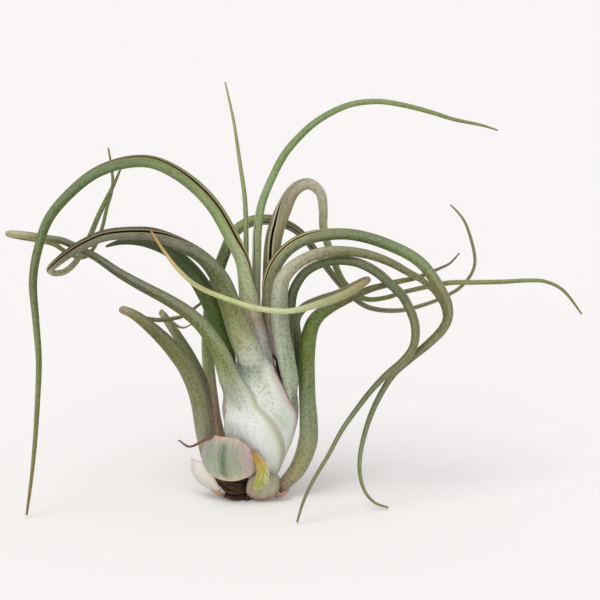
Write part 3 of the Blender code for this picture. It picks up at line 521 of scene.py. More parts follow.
# Finish of each leaf. stops: colours along it, with the sheath from 0 to 0.2 and the blade from
# 0.2 to 1. margin: colour of its thin margins. silvery: how much its scales cover it. pitted: how
# strong its green pits are. The side pair, where given: how far the left and the right side are
# lightened towards silver, partly denser scales near the margins and partly a painted highlight.
FINISH = {
    "leaf_left_arch": {
        "stops": [(0.0, (224, 230, 222)), (0.185, (216, 222, 210)), (0.21, (200, 190, 186)),
            (0.24, (236, 222, 220)), (0.26, (238, 240, 226)), (0.29, (230, 240, 216)),
            (0.33, (198, 212, 174)), (0.38, (154, 172, 124)), (0.46, (116, 134, 78)),
            (0.58, (84, 106, 50)), (0.7, (90, 100, 44)), (0.8, (118, 126, 72)), (0.9, (120, 126, 62)),
            (1.0, (140, 120, 60))],
        "margin": (150, 122, 78), "silvery": 0.5},
    "leaf_spike": {
        "stops": [(0.2, (176, 182, 156)), (0.5, (148, 160, 118)), (1.0, (156, 164, 104))],
        "margin": (196, 196, 150), "silvery": 0.25},
    "leaf_right_thin_arch": {
        "stops": [(0.2, (190, 200, 178)), (0.4, (178, 196, 156)), (0.55, (142, 168, 120)),
            (0.8, (146, 162, 112)), (1.0, (150, 154, 98))],
        "margin": (206, 214, 178), "silvery": 0.4},
    "leaf_hook": {
        "stops": [(0.0, (186, 184, 174)), (0.2, (142, 132, 104)), (0.3, (118, 112, 70)),
            (0.37, (146, 134, 104)), (0.42, (168, 154, 134)), (0.48, (216, 208, 196)),
            (0.53, (190, 190, 162)), (0.6, (140, 146, 100)), (0.68, (104, 112, 52)),
            (0.78, (148, 150, 104)), (0.9, (130, 138, 88)), (1.0, (122, 124, 72))],
        "margin": (216, 208, 178), "silvery": 0.4},
    "leaf_right_outer_arch": {
        "stops": [(0.0, (184, 184, 174)), (0.2, (176, 150, 150)), (0.245, (160, 146, 128)),
            (0.27, (132, 140, 96)), (0.34, (130, 138, 96)), (0.43, (114, 126, 84)),
            (0.49, (96, 112, 64)), (0.55, (128, 146, 102)), (0.62, (124, 120, 76)),
            (0.72, (104, 108, 60)), (0.82, (102, 108, 68)), (0.92, (134, 144, 104)),
            (1.0, (124, 116, 66))],
        "margin": (196, 178, 120), "silvery": 0.6},
    "leaf_right_middle_arch": {
        "stops": [(0.0, (186, 186, 176)), (0.2, (154, 164, 134)), (0.28, (160, 174, 148)),
            (0.4, (150, 158, 136)), (0.52, (172, 168, 144)), (0.58, (152, 144, 112)),
            (0.65, (126, 122, 80)), (0.78, (124, 122, 78)), (0.88, (138, 136, 92)),
            (1.0, (112, 102, 62))],
        "margin": (182, 166, 122), "silvery": 0.75},
    "leaf_right_inner_arch": {
        "stops": [(0.0, (150, 150, 140)), (0.2, (118, 128, 98)), (0.28, (84, 98, 56)),
            (0.38, (94, 104, 62)), (0.45, (84, 94, 48)), (0.51, (68, 82, 30)), (0.56, (70, 76, 28)),
            (0.61, (108, 112, 62)), (0.68, (112, 114, 66)), (0.75, (88, 96, 50)),
            (0.82, (120, 128, 88)), (1.0, (118, 118, 72))],
        "margin": (176, 178, 122), "silvery": 0.45},
    "leaf_right_column": {
        "stops": [(0.2, (150, 110, 80)), (0.215, (166, 144, 118)), (0.27, (156, 154, 126)),
            (0.38, (146, 154, 134)), (0.46, (122, 134, 102)), (0.53, (110, 120, 62)),
            (0.58, (102, 118, 54)), (0.63, (84, 98, 44)), (0.7, (86, 86, 38)), (0.77, (86, 84, 34)),
            (0.85, (132, 124, 80)), (0.93, (118, 112, 76)), (1.0, (44, 34, 24))],
        "margin": (182, 176, 134), "silvery": 0.6},
    "leaf_hairpin": {
        "stops": [(0.2, (98, 104, 76)), (0.3, (94, 100, 58)), (0.36, (140, 146, 114)),
            (0.44, (140, 130, 94)), (0.48, (146, 116, 88)), (0.51, (168, 142, 112)),
            (0.53, (166, 152, 112)), (0.57, (160, 160, 116)), (0.62, (182, 188, 146)),
            (0.7, (216, 220, 182)), (0.8, (208, 214, 160)), (0.89, (206, 198, 150)),
            (1.0, (204, 160, 96))],
        "margin": (206, 200, 158), "silvery": 0.3, "pitted": 0.25},
    "leaf_left_mid": {
        "stops": [(0.0, (224, 228, 222)), (0.1, (222, 224, 218)), (0.19, (196, 202, 190)),
            (0.25, (178, 184, 156)), (0.3, (144, 150, 108)), (0.36, (88, 98, 46)),
            (0.43, (76, 86, 40)), (0.47, (88, 90, 46)), (0.51, (62, 62, 26)), (0.57, (86, 86, 48)),
            (0.66, (76, 72, 38)), (0.71, (100, 92, 56)), (0.735, (200, 190, 172)),
            (0.79, (174, 180, 162)), (0.84, (150, 156, 116)), (1.0, (124, 134, 90))],
        "margin": (150, 128, 104), "silvery": 0.6, "scales_and_side_highlight": (0.15, 0.8)},
    "leaf_left_wavy": {
        "stops": [(0.0, (230, 232, 228)), (0.13, (228, 232, 228)), (0.19, (182, 188, 170)),
            (0.24, (150, 158, 122)), (0.29, (116, 126, 76)), (0.37, (90, 92, 44)),
            (0.43, (70, 72, 32)), (0.5, (62, 62, 22)), (0.54, (92, 94, 54)), (0.58, (80, 82, 40)),
            (0.62, (128, 130, 84)), (0.66, (206, 202, 180)), (0.69, (130, 130, 90)),
            (0.73, (178, 174, 128)), (0.8, (128, 128, 86)), (0.9, (144, 154, 112)),
            (1.0, (148, 148, 106))],
        "margin": (212, 210, 194), "silvery": 0.65, "scales_and_side_highlight": (0.2, 0.9)},
    "leaf_left_low": {
        "stops": [(0.2, (108, 72, 44)), (0.24, (130, 104, 76)), (0.3, (172, 164, 150)),
            (0.38, (154, 158, 144)), (0.46, (122, 126, 98)), (0.54, (118, 122, 92)),
            (0.6, (94, 100, 52)), (0.66, (82, 82, 34)), (0.71, (104, 98, 56)),
            (0.755, (156, 148, 128)), (0.8, (156, 148, 128)), (0.87, (102, 102, 60)),
            (1.0, (80, 94, 42))],
        "margin": (172, 166, 132), "silvery": 0.55},
    "leaf_left_small": {
        "stops": [(0.2, (130, 108, 84)), (0.3, (186, 172, 170)), (0.45, (186, 166, 172)),
            (0.54, (134, 124, 108)), (0.6, (94, 92, 60)), (0.75, (108, 114, 80)),
            (0.86, (162, 164, 146)), (1.0, (166, 152, 148))],
        "margin": (172, 166, 132), "silvery": 0.45},
    "leaf_left_grooved": {
        "stops": [(0.0, (190, 172, 178)), (0.2, (146, 148, 128)), (0.3, (112, 126, 88)),
            (0.4, (70, 90, 34)), (0.55, (64, 80, 28)), (0.65, (52, 66, 20)), (0.8, (50, 58, 16)),
            (1.0, (60, 66, 30))],
        "margin": (182, 184, 140), "silvery": 0.3},
    "leaf_back_sweep": {
        # the pale mauve stretch from 0.235 to 0.36 is partly the leaf's own pale base and partly painted
        # light, lightened where the leaf lies in shade
        "stops": [(0.2, (100, 70, 46)), (0.235, (214, 200, 198)), (0.31, (224, 202, 212)),
            (0.345, (206, 204, 196)), (0.36, (180, 188, 164)), (0.42, (130, 134, 84)),
            (0.45, (78, 96, 40)), (0.5, (84, 94, 44)), (0.53, (158, 168, 126)), (0.57, (126, 134, 94)),
            (0.6, (100, 102, 64)), (0.68, (108, 112, 66)), (0.73, (94, 94, 52)),
            (0.78, (110, 116, 60)), (0.84, (154, 156, 114)), (0.92, (120, 128, 84)),
            (1.0, (130, 126, 84))],
        "margin": (190, 186, 170), "silvery": 0.4},
}
SILVER = (220, 226, 208)
DARK_GREEN = (40, 60, 10)
# painted shade on the inner side of a rolled leaf, seen in its groove
GROOVE_SHADE = (60, 34, 16)
BRONZE = (132, 104, 56)
MAUVE = (200, 162, 178)
OLIVE = (146, 146, 92)
BLADE_FROM = 0.22           # share of the leaf from which richer() changes its colours
RICHNESS = 1.5              # how far a blade's colours are pushed away from grey
DEPTH = (0.81, 0.79, 0.70)  # how much a blade's red, green and blue are darkened
# the leaves that differ from RICHNESS and DEPTH
TONES = {
    "leaf_spike": (1.4, (0.94, 0.93, 0.95)),
    "leaf_hairpin": (1.25, (0.91, 0.91, 0.89)),
    "leaf_right_middle_arch": (1.1, (0.97, 0.96, 0.94)),
    "leaf_right_inner_arch": (1.75, (0.79, 0.77, 0.66)),
    "leaf_right_column": (1.5, (0.93, 0.91, 0.84)),
    "leaf_left_wavy": (1.75, DEPTH),
    "leaf_left_arch": (1.65, DEPTH),
    "leaf_left_low": (1.4, (0.95, 0.92, 0.82)),
    "leaf_left_small": (1.4, (1.02, 1.0, 0.82)),
    "leaf_left_grooved": (1.5, (0.98, 0.95, 0.70)),
    "leaf_hook": (1.4, (0.88, 0.89, 0.84)),
    "leaf_back_sweep": (1.5, (0.92, 0.91, 0.74)),
}
# colours of a sheath's left and right margins; mauve where nothing is given
SHEATH_EDGES = {"leaf_left_wavy": ((226, 226, 220), OLIVE),
                "leaf_left_arch": ((206, 196, 196), (204, 178, 188))}


def richer(name, colour):
    """A blade's colour pushed away from grey and darkened."""
    grey = sum(colour) / 3
    richness, depth = TONES.get(name, (RICHNESS, DEPTH))
    return tuple(max(6, min(250, (grey + (part - grey) * richness) * deep))
                 for part, deep in zip(colour, depth))


def leaf_material(name):
    """Living leaf: silvery scales over green, streaks along the leaf, thin pale margins, a painted
    highlight down its sides and painted shade inside its roll.
    """
    finish = FINISH[name]
    n = Nodes(name + "_finish")
    place = n.attribute("leaf_place", "Vector")
    across, along = n.attribute("across"), n.attribute("along")
    inner, sheath = n.attribute("inner"), n.attribute("sheath")
    edge = n.math("ABSOLUTE", across)
    streaks = n.noise(n.stretch(place, (1.3, 0.07, 1.0)), 1.0, 4.0, 0.6)
    patches = n.noise(n.stretch(place, (0.30, 0.12, 1.0)), 1.0, 3.0, 0.5)
    wander = n.math("MULTIPLY_ADD", n.math("SUBTRACT", patches, 0.5), 0.05, along)
    stops = [(at, colour if at < BLADE_FROM else richer(name, colour))
             for at, colour in finish["stops"]]
    colour = n.ramp(wander, stops)
    darker = n.mix(0.5, colour, DARK_GREEN)
    streaky = n.math("MULTIPLY_ADD", sheath, -0.6, 0.8)
    colour = n.mix(n.math("MULTIPLY", n.span(streaks, 0.45, 0.72), streaky), colour, darker)
    tinged = n.math("MULTIPLY", sheath, n.span(patches, 0.50, 0.66))
    colour = n.mix(n.math("MULTIPLY", tinged, 0.35), colour, (160, 176, 132))
    bronze = n.math("MULTIPLY", n.span(patches, 0.52, 0.75), n.math("MULTIPLY_ADD", sheath, -0.3, 0.35))
    colour = n.mix(bronze, colour, n.mix(0.5, colour, BRONZE))
    cover = n.noise(n.stretch(place, (0.8, 0.4, 1.0)), 1.0, 4.0, 0.62)
    mottle = n.noise(n.stretch(place, (1.5, 1.1, 1.0)), 1.0, 2.0, 0.5)
    pits = n.math("MULTIPLY", n.span(mottle, 0.50, 0.34), n.math("MULTIPLY_ADD", cover, -0.8, 1.0))
    pits = n.math("MULTIPLY", pits, n.math("MULTIPLY_ADD", n.span(along, 0.17, 0.08), -0.75, 1.0))
    colour = n.mix(n.math("MULTIPLY", pits, finish.get("pitted", 0.6)), colour, DARK_GREEN)
    scales = n.cells(n.stretch(place, (2.9, 2.3, 1.0)), 1.0)
    dots = n.math("MULTIPLY", n.span(scales, 0.66, 0.22), n.span(mottle, 0.36, 0.60))
    # the left and the right side are lightened towards silver: partly denser scales near the margins,
    # partly a painted highlight down the sides
    left, right = finish.get("scales_and_side_highlight", (0.7, 0.7))
    highlight_sides = n.math("MULTIPLY", n.span(across, -0.34, -0.54), left)
    highlight_sides = n.math("MULTIPLY_ADD", n.span(across, 0.34, 0.54), right, highlight_sides)
    scales_and_side_highlight = n.math("MULTIPLY", highlight_sides, n.span(cover, 0.20, 0.50))
    scales_and_side_highlight = n.math("MULTIPLY", scales_and_side_highlight, n.math("MULTIPLY_ADD", sheath, 0.75, 0.25))
    speckled = n.math("MULTIPLY", dots, n.math("MULTIPLY_ADD", sheath, 0.46, 0.22))
    scales_and_highlight = n.math("ADD", scales_and_side_highlight, speckled)
    scales_and_highlight = n.math("MULTIPLY", scales_and_highlight, finish["silvery"], clamp=True)
    colour = n.mix(scales_and_highlight, colour, SILVER)
    for side, edge_colour in zip((-1, 1), SHEATH_EDGES.get(name, (MAUVE, MAUVE))):
        blush = n.span(n.math("MULTIPLY", across, side), 0.62, 0.98)
        blush = n.math("MULTIPLY", sheath, blush)
        colour = n.mix(n.math("MULTIPLY", blush, 0.7), colour, edge_colour)
    rim = n.span(edge, 0.90, 0.98)
    colour = n.mix(n.math("MULTIPLY", rim, 0.85), colour, finish["margin"])
    # the inner side is painted near-black brown: painted shade inside the roll, seen through its groove
    inside_shade = n.math("MULTIPLY", inner, n.span(edge, 0.985, 0.90))
    colour = n.mix(n.math("MULTIPLY", inside_shade, 0.9), colour, GROOVE_SHADE)
    n.put(n.shader.inputs["Base Color"], colour)
    n.put(n.shader.inputs["Roughness"], n.math("MULTIPLY_ADD", cover, 0.25, 0.40))
    n.shader.inputs["Sheen Weight"].default_value = 0.3
    n.shader.inputs["Sheen Roughness"].default_value = 0.14
    n.shader.inputs["Sheen Tint"].default_value = tint((240, 244, 228))
    ribs = n.noise(n.stretch(place, (2.2, 0.04, 1.0)), 1.0, 2.0)
    grain = n.noise(n.stretch(place, (3.6, 2.8, 1.0)), 1.0, 2.0)
    ribbed = n.math("MULTIPLY", ribs, n.math("MULTIPLY_ADD", sheath, -0.7, 1.0))
    normal = n.bump(ribbed, 0.6, 0.00022)
    relief = n.math("ADD", n.math("SUBTRACT", dots, pits), n.math("MULTIPLY", grain, 0.5))
    n.put(n.shader.inputs["Normal"], n.bump(relief, 0.5, 0.00012, normal))
    return n.material


def finish_piece(obj, material, node):
    obj.data.materials.append(material)
    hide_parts(node)
    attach(obj, "root")


def build_leaves():
    for index, (name, leaf) in enumerate(LEAVES.items()):
        obj = loft(name + "_skin", leaf_stations(leaf), leaf["turn"], 1.0 + index * 2.37)
        finish_piece(obj, leaf_material(name), name)


# Old leaf bases and dry scales: outward direction, thickness, how round the corners are, how
# ragged the far edge is, and rows from the attached end to the free one. A row is the middle
# x, y, z, the arc's radius and half its opening in degrees.
SHELLS = {
    "old_sheath_cup": {
        "slot": "old_sheath", "outward": (-0.42, -0.91, 0), "thick": 0.6, "round": 0.80,
        "ragged": 0.25, "crown": 0.9,
        "rows": [(-10.2, -9.6, 8.4, 8.4, 50), (-11.2, -11.8, 11.6, 10.2, 66),
                 (-11.8, -13.0, 16, 10.8, 72), (-11.8, -13.9, 21, 10.6, 66),
                 (-11.2, -14.6, 26.2, 9.6, 54)]},
    "yellow_bract": {
        "slot": "yellow_bract", "outward": (0.1, -1, 0), "thick": 0.5, "round": 0.5,
        "ragged": 0.3, "crown": 0.2,
        "rows": [(0.2, -11.6, 5.0, 2.4, 56), (1.7, -12.3, 8.8, 2.7, 66), (2.6, -12.9, 12.4, 2.6, 66),
                 (1.2, -13.9, 16.6, 2.2, 60), (-1.6, -15.0, 21.0, 1.5, 50)]},
    "base_bract": {
        "slot": "old_sheath", "outward": (0.05, -1, 0), "thick": 0.7, "round": 0.55,
        "ragged": 0.35, "crown": 0.5,
        "rows": [(1.8, -6.6, 0.5, 4.4, 52), (2.3, -8.6, 3.2, 7.0, 56), (2.8, -9.3, 7.2, 7.4, 52),
                 (3.6, -9.3, 11.0, 6.9, 42)]},
    "back_bract": {
        "slot": "old_sheath", "outward": (-0.85, -0.53, 0), "thick": 0.5, "round": 0.6,
        "ragged": 0.3, "crown": 0.4,
        "rows": [(-14.8, -3.4, 3.0, 4.4, 64), (-18.6, -4.2, 6.0, 5.8, 70), (-20.9, -4.6, 10, 6.2, 72),
                 (-21.8, -4.4, 15.0, 5.8, 58)]},
    "dry_scale_left": {
        "slot": "dry_scale", "outward": (-0.3, -0.3, -0.9), "thick": 0.4, "round": 0.6,
        "ragged": 0.5, "crown": 0.2,
        "rows": [(-11.4, -4.8, 1.6, 2.8, 44), (-14.4, -4.7, 2.6, 3.0, 46), (-17.6, -4.4, 5.2, 2.2, 32)]},
    "dry_scale_right": {
        "slot": "dry_scale", "outward": (0.3, -0.4, -0.9), "thick": 0.4, "round": 0.6,
        "ragged": 0.5, "crown": 0.2,
        "rows": [(6.8, -6.8, 1.5, 2.4, 44), (9.4, -6.3, 2.3, 2.5, 44), (12.2, -5.7, 4.2, 1.7, 32)]},
}
SHELL_ACROSS = 44
SHELL_ALONG = 40


def shell_frame(rows, outward, t):
    """Middle, radius, half opening, outward and side directions at t along the rows."""
    last = len(rows) - 1
    at = min(max(t, 0.0), 1.0) * last
    i = min(int(at), last - 1)
    points = [Vector(row[:3]) for row in rows]
    middle = spline(points, i, at - i)
    ahead = spline(points, i, min(1.0, at - i + 0.05)) - spline(points, i, max(0.0, at - i - 0.05))
    radius = spline([row[3] for row in rows], i, at - i)
    wrap = radians(spline([row[4] for row in rows], i, at - i))
    along = Vector((0, 0, 1)) if abs(outward.z) < 0.1 else ahead.normalized()
    back = (outward - along * outward.dot(along)).normalized()
    return middle, radius, wrap, back, along.cross(back)


def shell(name, spec, seed):
    """A thin curved plate with rounded corners, a crowned middle and a ragged free edge."""
    rows, thick = spec["rows"], spec["thick"]
    outward = Vector(spec["outward"]).normalized()
    verts, place, state, faces = [], [], [], []
    for inner in (0.0, 1.0):
        for i in range(SHELL_ALONG + 1):
            for j in range(SHELL_ACROSS + 1):
                across = 2 * j / SHELL_ACROSS - 1
                t = i / SHELL_ALONG
                bite = noise.noise(Vector((across * 4.3, seed, 0.5))) * 0.10
                bite += noise.noise(Vector((across * 13.0, seed, 4.5))) * 0.05
                reach = (1 - spec["round"] * abs(across) ** 2.6) ** 0.5
                shaped = 0.5 + (t - 0.5) * reach + spec["ragged"] * bite * smooth(0.6, 1, t)
                middle, radius, wrap, back, side = shell_frame(rows, outward, min(1.0, shaped))
                centre = middle - back * radius * sin(wrap) / wrap
                border = max(abs(across), abs(2 * t - 1))
                crown = spec["crown"] * (1 - across * across) * (1 - (2 * t - 1) ** 2)
                dent = noise.noise(Vector((across * 2.2 + seed, t * 2.0, seed))) * 0.22
                half = thick / 2 * (1 - 0.8 * smooth(0.8, 1.0, border))
                reach_out = radius + crown + dent + (half if not inner else -half)
                angle = across * wrap
                point = centre + (back * cos(angle) + side * sin(angle)) * reach_out
                verts.append(point * MM)
                place.append((across * wrap * radius, t * 14, seed))
                state.append((across, t, inner, border))
    size = SHELL_ACROSS + 1
    layer = size * (SHELL_ALONG + 1)
    for i in range(SHELL_ALONG):
        for j in range(SHELL_ACROSS):
            a, b = i * size + j, (i + 1) * size + j
            faces.append((a, a + 1, b + 1, b))
            faces.append((a + layer, b + layer, b + layer + 1, a + layer + 1))
    rim = list(range(SHELL_ACROSS + 1))
    rim += [i * size + SHELL_ACROSS for i in range(1, SHELL_ALONG + 1)]
    rim += [SHELL_ALONG * size + j for j in range(SHELL_ACROSS - 1, -1, -1)]
    rim += [i * size for i in range(SHELL_ALONG - 1, 0, -1)]
    for a, b in zip(rim, rim[1:] + rim[:1]):
        faces.append((b, a, a + layer, b + layer))
    return make_object(name, verts, faces, place, state)


# Colours of the shells along them, from the attached end to the free one, and their edge colour.
SHELL_FINISH = {
    "old_sheath_cup": {
        "stops": [(0.0, (232, 220, 186)), (0.12, (206, 200, 168)), (0.28, (166, 170, 144)),
            (0.6, (146, 152, 132)), (0.82, (150, 150, 136)), (0.95, (182, 166, 150)),
            (1.0, (200, 170, 150))],
        "left": (176, 176, 156), "right": (214, 180, 184), "stripe": (64, 92, 48),
        "rim": (176, 132, 96), "stripe_at": 0.10, "vein": (62, 84, 50),
        "silvery": 0.22},
    "yellow_bract": {
        "stops": [(0.0, (196, 184, 140)), (0.12, (150, 164, 66)), (0.35, (168, 168, 64)),
            (0.6, (190, 168, 66)), (0.8, (186, 138, 58)), (1.0, (150, 96, 50))],
        "left": (186, 176, 92), "right": (208, 206, 150), "stripe": (150, 150, 50),
        "rim": (158, 112, 60), "stripe_at": -0.1, "vein": (110, 96, 24),
        "silvery": 0.15},
    "base_bract": {
        "stops": [(0.0, (96, 64, 40)), (0.15, (166, 140, 110)), (0.5, (170, 162, 134)),
            (0.85, (158, 158, 132)), (1.0, (132, 104, 72))],
        "left": (186, 158, 138), "right": (138, 144, 110), "stripe": (160, 162, 136),
        "rim": (120, 80, 48), "stripe_at": 0.0, "vein": (104, 84, 50),
        "silvery": 0.3},
    "back_bract": {
        "stops": [(0.0, (140, 100, 66)), (0.12, (204, 198, 184)), (1.0, (220, 216, 208))],
        "left": (216, 208, 196), "right": (222, 218, 208), "stripe": (206, 204, 188),
        "rim": (186, 160, 128), "stripe_at": 0.0, "vein": (150, 130, 104),
        "silvery": 0.2},
    "dry_scale_left": {
        "stops": [(0.0, (92, 56, 32)), (0.4, (168, 124, 84)), (1.0, (196, 160, 122))],
        "left": (160, 112, 74), "right": (186, 158, 124), "stripe": (130, 86, 54),
        "rim": (98, 58, 34), "stripe_at": 0.0, "vein": (90, 54, 30),
        "silvery": 0.0},
    "dry_scale_right": {
        "stops": [(0.0, (96, 60, 36)), (0.4, (170, 128, 92)), (1.0, (198, 168, 136))],
        "left": (176, 134, 98), "right": (196, 166, 132), "stripe": (150, 104, 70),
        "rim": (112, 62, 36), "stripe_at": 0.0, "vein": (110, 64, 36),
        "silvery": 0.0},
}


def shell_material(name):
    """Dying leaf base: papery, veined along its length, with a brown dry edge."""
    finish = SHELL_FINISH[name]
    n = Nodes(name + "_finish")
    place = n.attribute("leaf_place", "Vector")
    across, along = n.attribute("across"), n.attribute("along")
    inner, border = n.attribute("inner"), n.attribute("sheath")
    patches = n.noise(n.stretch(place, (0.35, 0.25, 1.0)), 1.0, 4.0, 0.6)
    veins = n.noise(n.stretch(place, (2.6, 0.12, 1.0)), 1.0, 3.0, 0.6)
    wander = n.math("MULTIPLY_ADD", n.math("SUBTRACT", patches, 0.5), 0.3, along)
    colour = n.ramp(wander, finish["stops"])
    colour = n.mix(n.math("MULTIPLY", n.span(across, -0.35, -0.9), 0.6), colour, finish["left"])
    colour = n.mix(n.math("MULTIPLY", n.span(across, 0.35, 0.85), 0.6), colour, finish["right"])
    offset = n.math("SUBTRACT", across, finish["stripe_at"])
    bent = n.math("MULTIPLY_ADD", n.math("SUBTRACT", veins, 0.5), 0.5, offset)
    stripe = n.span(n.math("ABSOLUTE", bent), 0.15, 0.02)
    ends = n.math("MULTIPLY", n.span(along, 0.05, 0.3), n.span(along, 0.98, 0.75))
    colour = n.mix(n.math("MULTIPLY", n.math("MULTIPLY", stripe, ends), 0.8), colour, finish["stripe"])
    veined = n.math("MULTIPLY", n.span(veins, 0.48, 0.66), 0.72)
    colour = n.mix(veined, colour, n.mix(0.5, colour, finish["vein"]))
    pale = n.math("MULTIPLY", n.span(veins, 0.46, 0.30), 0.45)
    colour = n.mix(pale, colour, n.mix(0.5, colour, (236, 232, 220)))
    scales = n.cells(n.stretch(place, (2.4, 2.0, 1.0)), 1.0)
    dots = n.math("MULTIPLY", n.span(scales, 0.48, 0.15), n.span(patches, 0.35, 0.6))
    colour = n.mix(n.math("MULTIPLY", dots, finish["silvery"]), colour, SILVER)
    dry = n.span(n.math("MULTIPLY_ADD", n.math("SUBTRACT", veins, 0.5), 0.08, border), 0.925, 0.985)
    colour = n.mix(n.math("MULTIPLY", dry, 0.85), colour, finish["rim"])
    colour = n.mix(n.math("MULTIPLY", inner, 0.6), colour, (88, 62, 40))
    n.put(n.shader.inputs["Base Color"], colour)
    n.put(n.shader.inputs["Roughness"], n.math("MULTIPLY_ADD", patches, 0.3, 0.45))
    n.shader.inputs["Sheen Weight"].default_value = 0.2
    n.shader.inputs["Sheen Roughness"].default_value = 0.4
    normal = n.bump(veins, 0.7, 0.00025)
    n.put(n.shader.inputs["Normal"], n.bump(dots, 0.4, 0.0001, normal))
    return n.material


def build_shells():
    for index, (name, spec) in enumerate(SHELLS.items()):
        obj = shell(name + "_shell", spec, 3.0 + index * 1.71)
        finish_piece(obj, shell_material(name), name)


# Bare strands: points x, y, z and width, and how knobbly the strand is. extra holds the finer
# ones that grow beside it.
STRANDS = {
    "root_upper": {
        "slot": "stem_wood", "knobs": 0.28,
        "points": [(-5.0, -3.9, 3.6, 2.6), (-6.6, -5.2, 4.2, 2.7), (-8.2, -6.4, 4.6, 2.2),
                   (-9.4, -7.1, 5.3, 1.9), (-10.9, -7.7, 5.9, 1.0)],
        "extra": [
            [(-4.4, -4.4, 2.8, 1.8), (-7.2, -6.4, 2.9, 1.6), (-9.8, -7.6, 3.4, 1.1),
             (-12.2, -7.6, 4.4, 0.5)],
            [(-4.6, -2.6, 5.2, 2.2), (-7.6, -3.6, 6.6, 1.7), (-10.6, -4.6, 7.2, 0.8)],
            [(-5.0, -5.0, 5.2, 1.5), (-8.2, -7.4, 6.4, 1.2), (-10.8, -8.2, 7.4, 0.5)],
            [(-4.6, -3.2, 3.4, 2.0), (-8.2, -4.6, 3.8, 1.6), (-12.4, -5.4, 4.4, 0.6)]]},
    "root_lower": {
        "slot": "stem_wood", "knobs": 0.3,
        "points": [(-4.6, -3.8, 1.4, 1.9), (-6.6, -5.3, 1.2, 1.9), (-8.6, -6.6, 1.2, 1.6),
                   (-10.2, -7.3, 1.6, 1.2), (-11.7, -8.1, 2.0, 0.6)],
        "extra": [
            [(-3.8, -4.4, 1.0, 1.5), (-6.4, -7.0, 0.9, 1.3), (-8.8, -8.7, 1.0, 0.6)],
            [(-4.4, -2.4, 1.6, 2.0), (-8.0, -3.8, 1.5, 1.7), (-12.0, -5.0, 1.5, 0.6)],
            [(-4.2, -3.4, 2.2, 1.8), (-7.6, -5.0, 2.4, 1.5), (-11.4, -6.4, 2.8, 0.6)],
            [(-2.6, -4.8, 1.2, 1.6), (-3.6, -7.2, 1.0, 1.2), (-3.9, -8.8, 0.8, 0.6)]]},
    "dried_thread": {
        "slot": "dry_scale", "knobs": 0.08,
        "points": [(-15.4, -13.4, 25.6, 1.4), (-17.4, -12.5, 24.6, 1.2), (-20, -11.9, 23.2, 1.0),
                   (-22.2, -11.3, 21.8, 0.9), (-24.2, -10.6, 21.2, 0.85), (-26, -9.9, 21.9, 0.75),
                   (-27.4, -9.5, 23.0, 0.6), (-28.2, -9.4, 23.0, 0.3)]},
}
STRAND_SIDES = 14
STRAND_STEPS = 9


def tube(points, knobs, seed, verts, faces, place, state):
    """Add a tapered round strand with closed ends."""
    middles = [Vector(p[:3]) for p in points]
    widths = [p[3] for p in points]
    path = []
    for i in range(len(points) - 1):
        for step in range(STRAND_STEPS):
            t = step / STRAND_STEPS
            path.append((spline(middles, i, t), spline(widths, i, t) / 2))
    path.append((middles[-1], widths[-1] / 2))
    first = len(verts)
    normal = Vector((0.2, 0.3, 0.93))
    last = len(path) - 1
    for k, (middle, radius) in enumerate(path):
        along = (path[min(k + 1, last)][0] - path[max(k - 1, 0)][0]).normalized()
        normal = (normal - along * normal.dot(along)).normalized()
        side = along.cross(normal)
        for j in range(STRAND_SIDES):
            angle = 2 * pi * j / STRAND_SIDES
            bump = noise.noise(Vector((cos(angle) * 1.2 + seed, sin(angle) * 1.2, k * 0.35)))
            swell = noise.noise(Vector((seed, k * 0.22, 9.1)))
            reach = radius * (1 + knobs * (bump + 0.8 * swell))
            verts.append((middle + (normal * cos(angle) + side * sin(angle)) * reach) * MM)
            place.append((angle * radius, k * 0.3, seed))
            state.append((2 * j / STRAND_SIDES - 1, k / last, 0.0, 0.0))
    for k in range(last):
        for j in range(STRAND_SIDES):
            a, b = first + k * STRAND_SIDES + j, first + k * STRAND_SIDES + (j + 1) % STRAND_SIDES
            faces.append((a, b, b + STRAND_SIDES, a + STRAND_SIDES))
    start = list(range(first, first + STRAND_SIDES))
    faces.append(tuple(start[::-1]))
    faces.append(tuple(v + last * STRAND_SIDES for v in start))


def strand_material(name, dark, pale):
    n = Nodes(name + "_finish")
    place = n.attribute("leaf_place", "Vector")
    fibres = n.noise(n.stretch(place, (2.8, 0.5, 1.0)), 1.0, 4.0, 0.65)
    colour = n.ramp(fibres, [(0.3, dark), (0.7, pale)])
    n.put(n.shader.inputs["Base Color"], colour)
    n.put(n.shader.inputs["Roughness"], n.math("MULTIPLY_ADD", fibres, 0.3, 0.6))
    n.put(n.shader.inputs["Normal"], n.bump(fibres, 0.9, 0.0004))
    return n.material


def build_strands():
    tints = {"root_upper": ((24, 14, 8), (96, 60, 34)), "root_lower": ((20, 12, 8), (82, 50, 30)),
             "dried_thread": ((84, 52, 44), (142, 100, 84))}
    for index, (name, spec) in enumerate(STRANDS.items()):
        verts, faces, place, state = [], [], [], []
        for number, points in enumerate([spec["points"]] + spec.get("extra", [])):
            seed = index * 3.3 + 1.0 + number * 0.77
            tube(points, spec["knobs"], seed, verts, faces, place, state)
        obj = make_object(name + "_fibre", verts, faces, place, state)
        finish_piece(obj, strand_material(name, *tints[name]), name)


FIBRES = 9                  # short pale fibres on the torn side of the yellow bract
FIBRE_RISE = 0.9            # from one fibre to the next


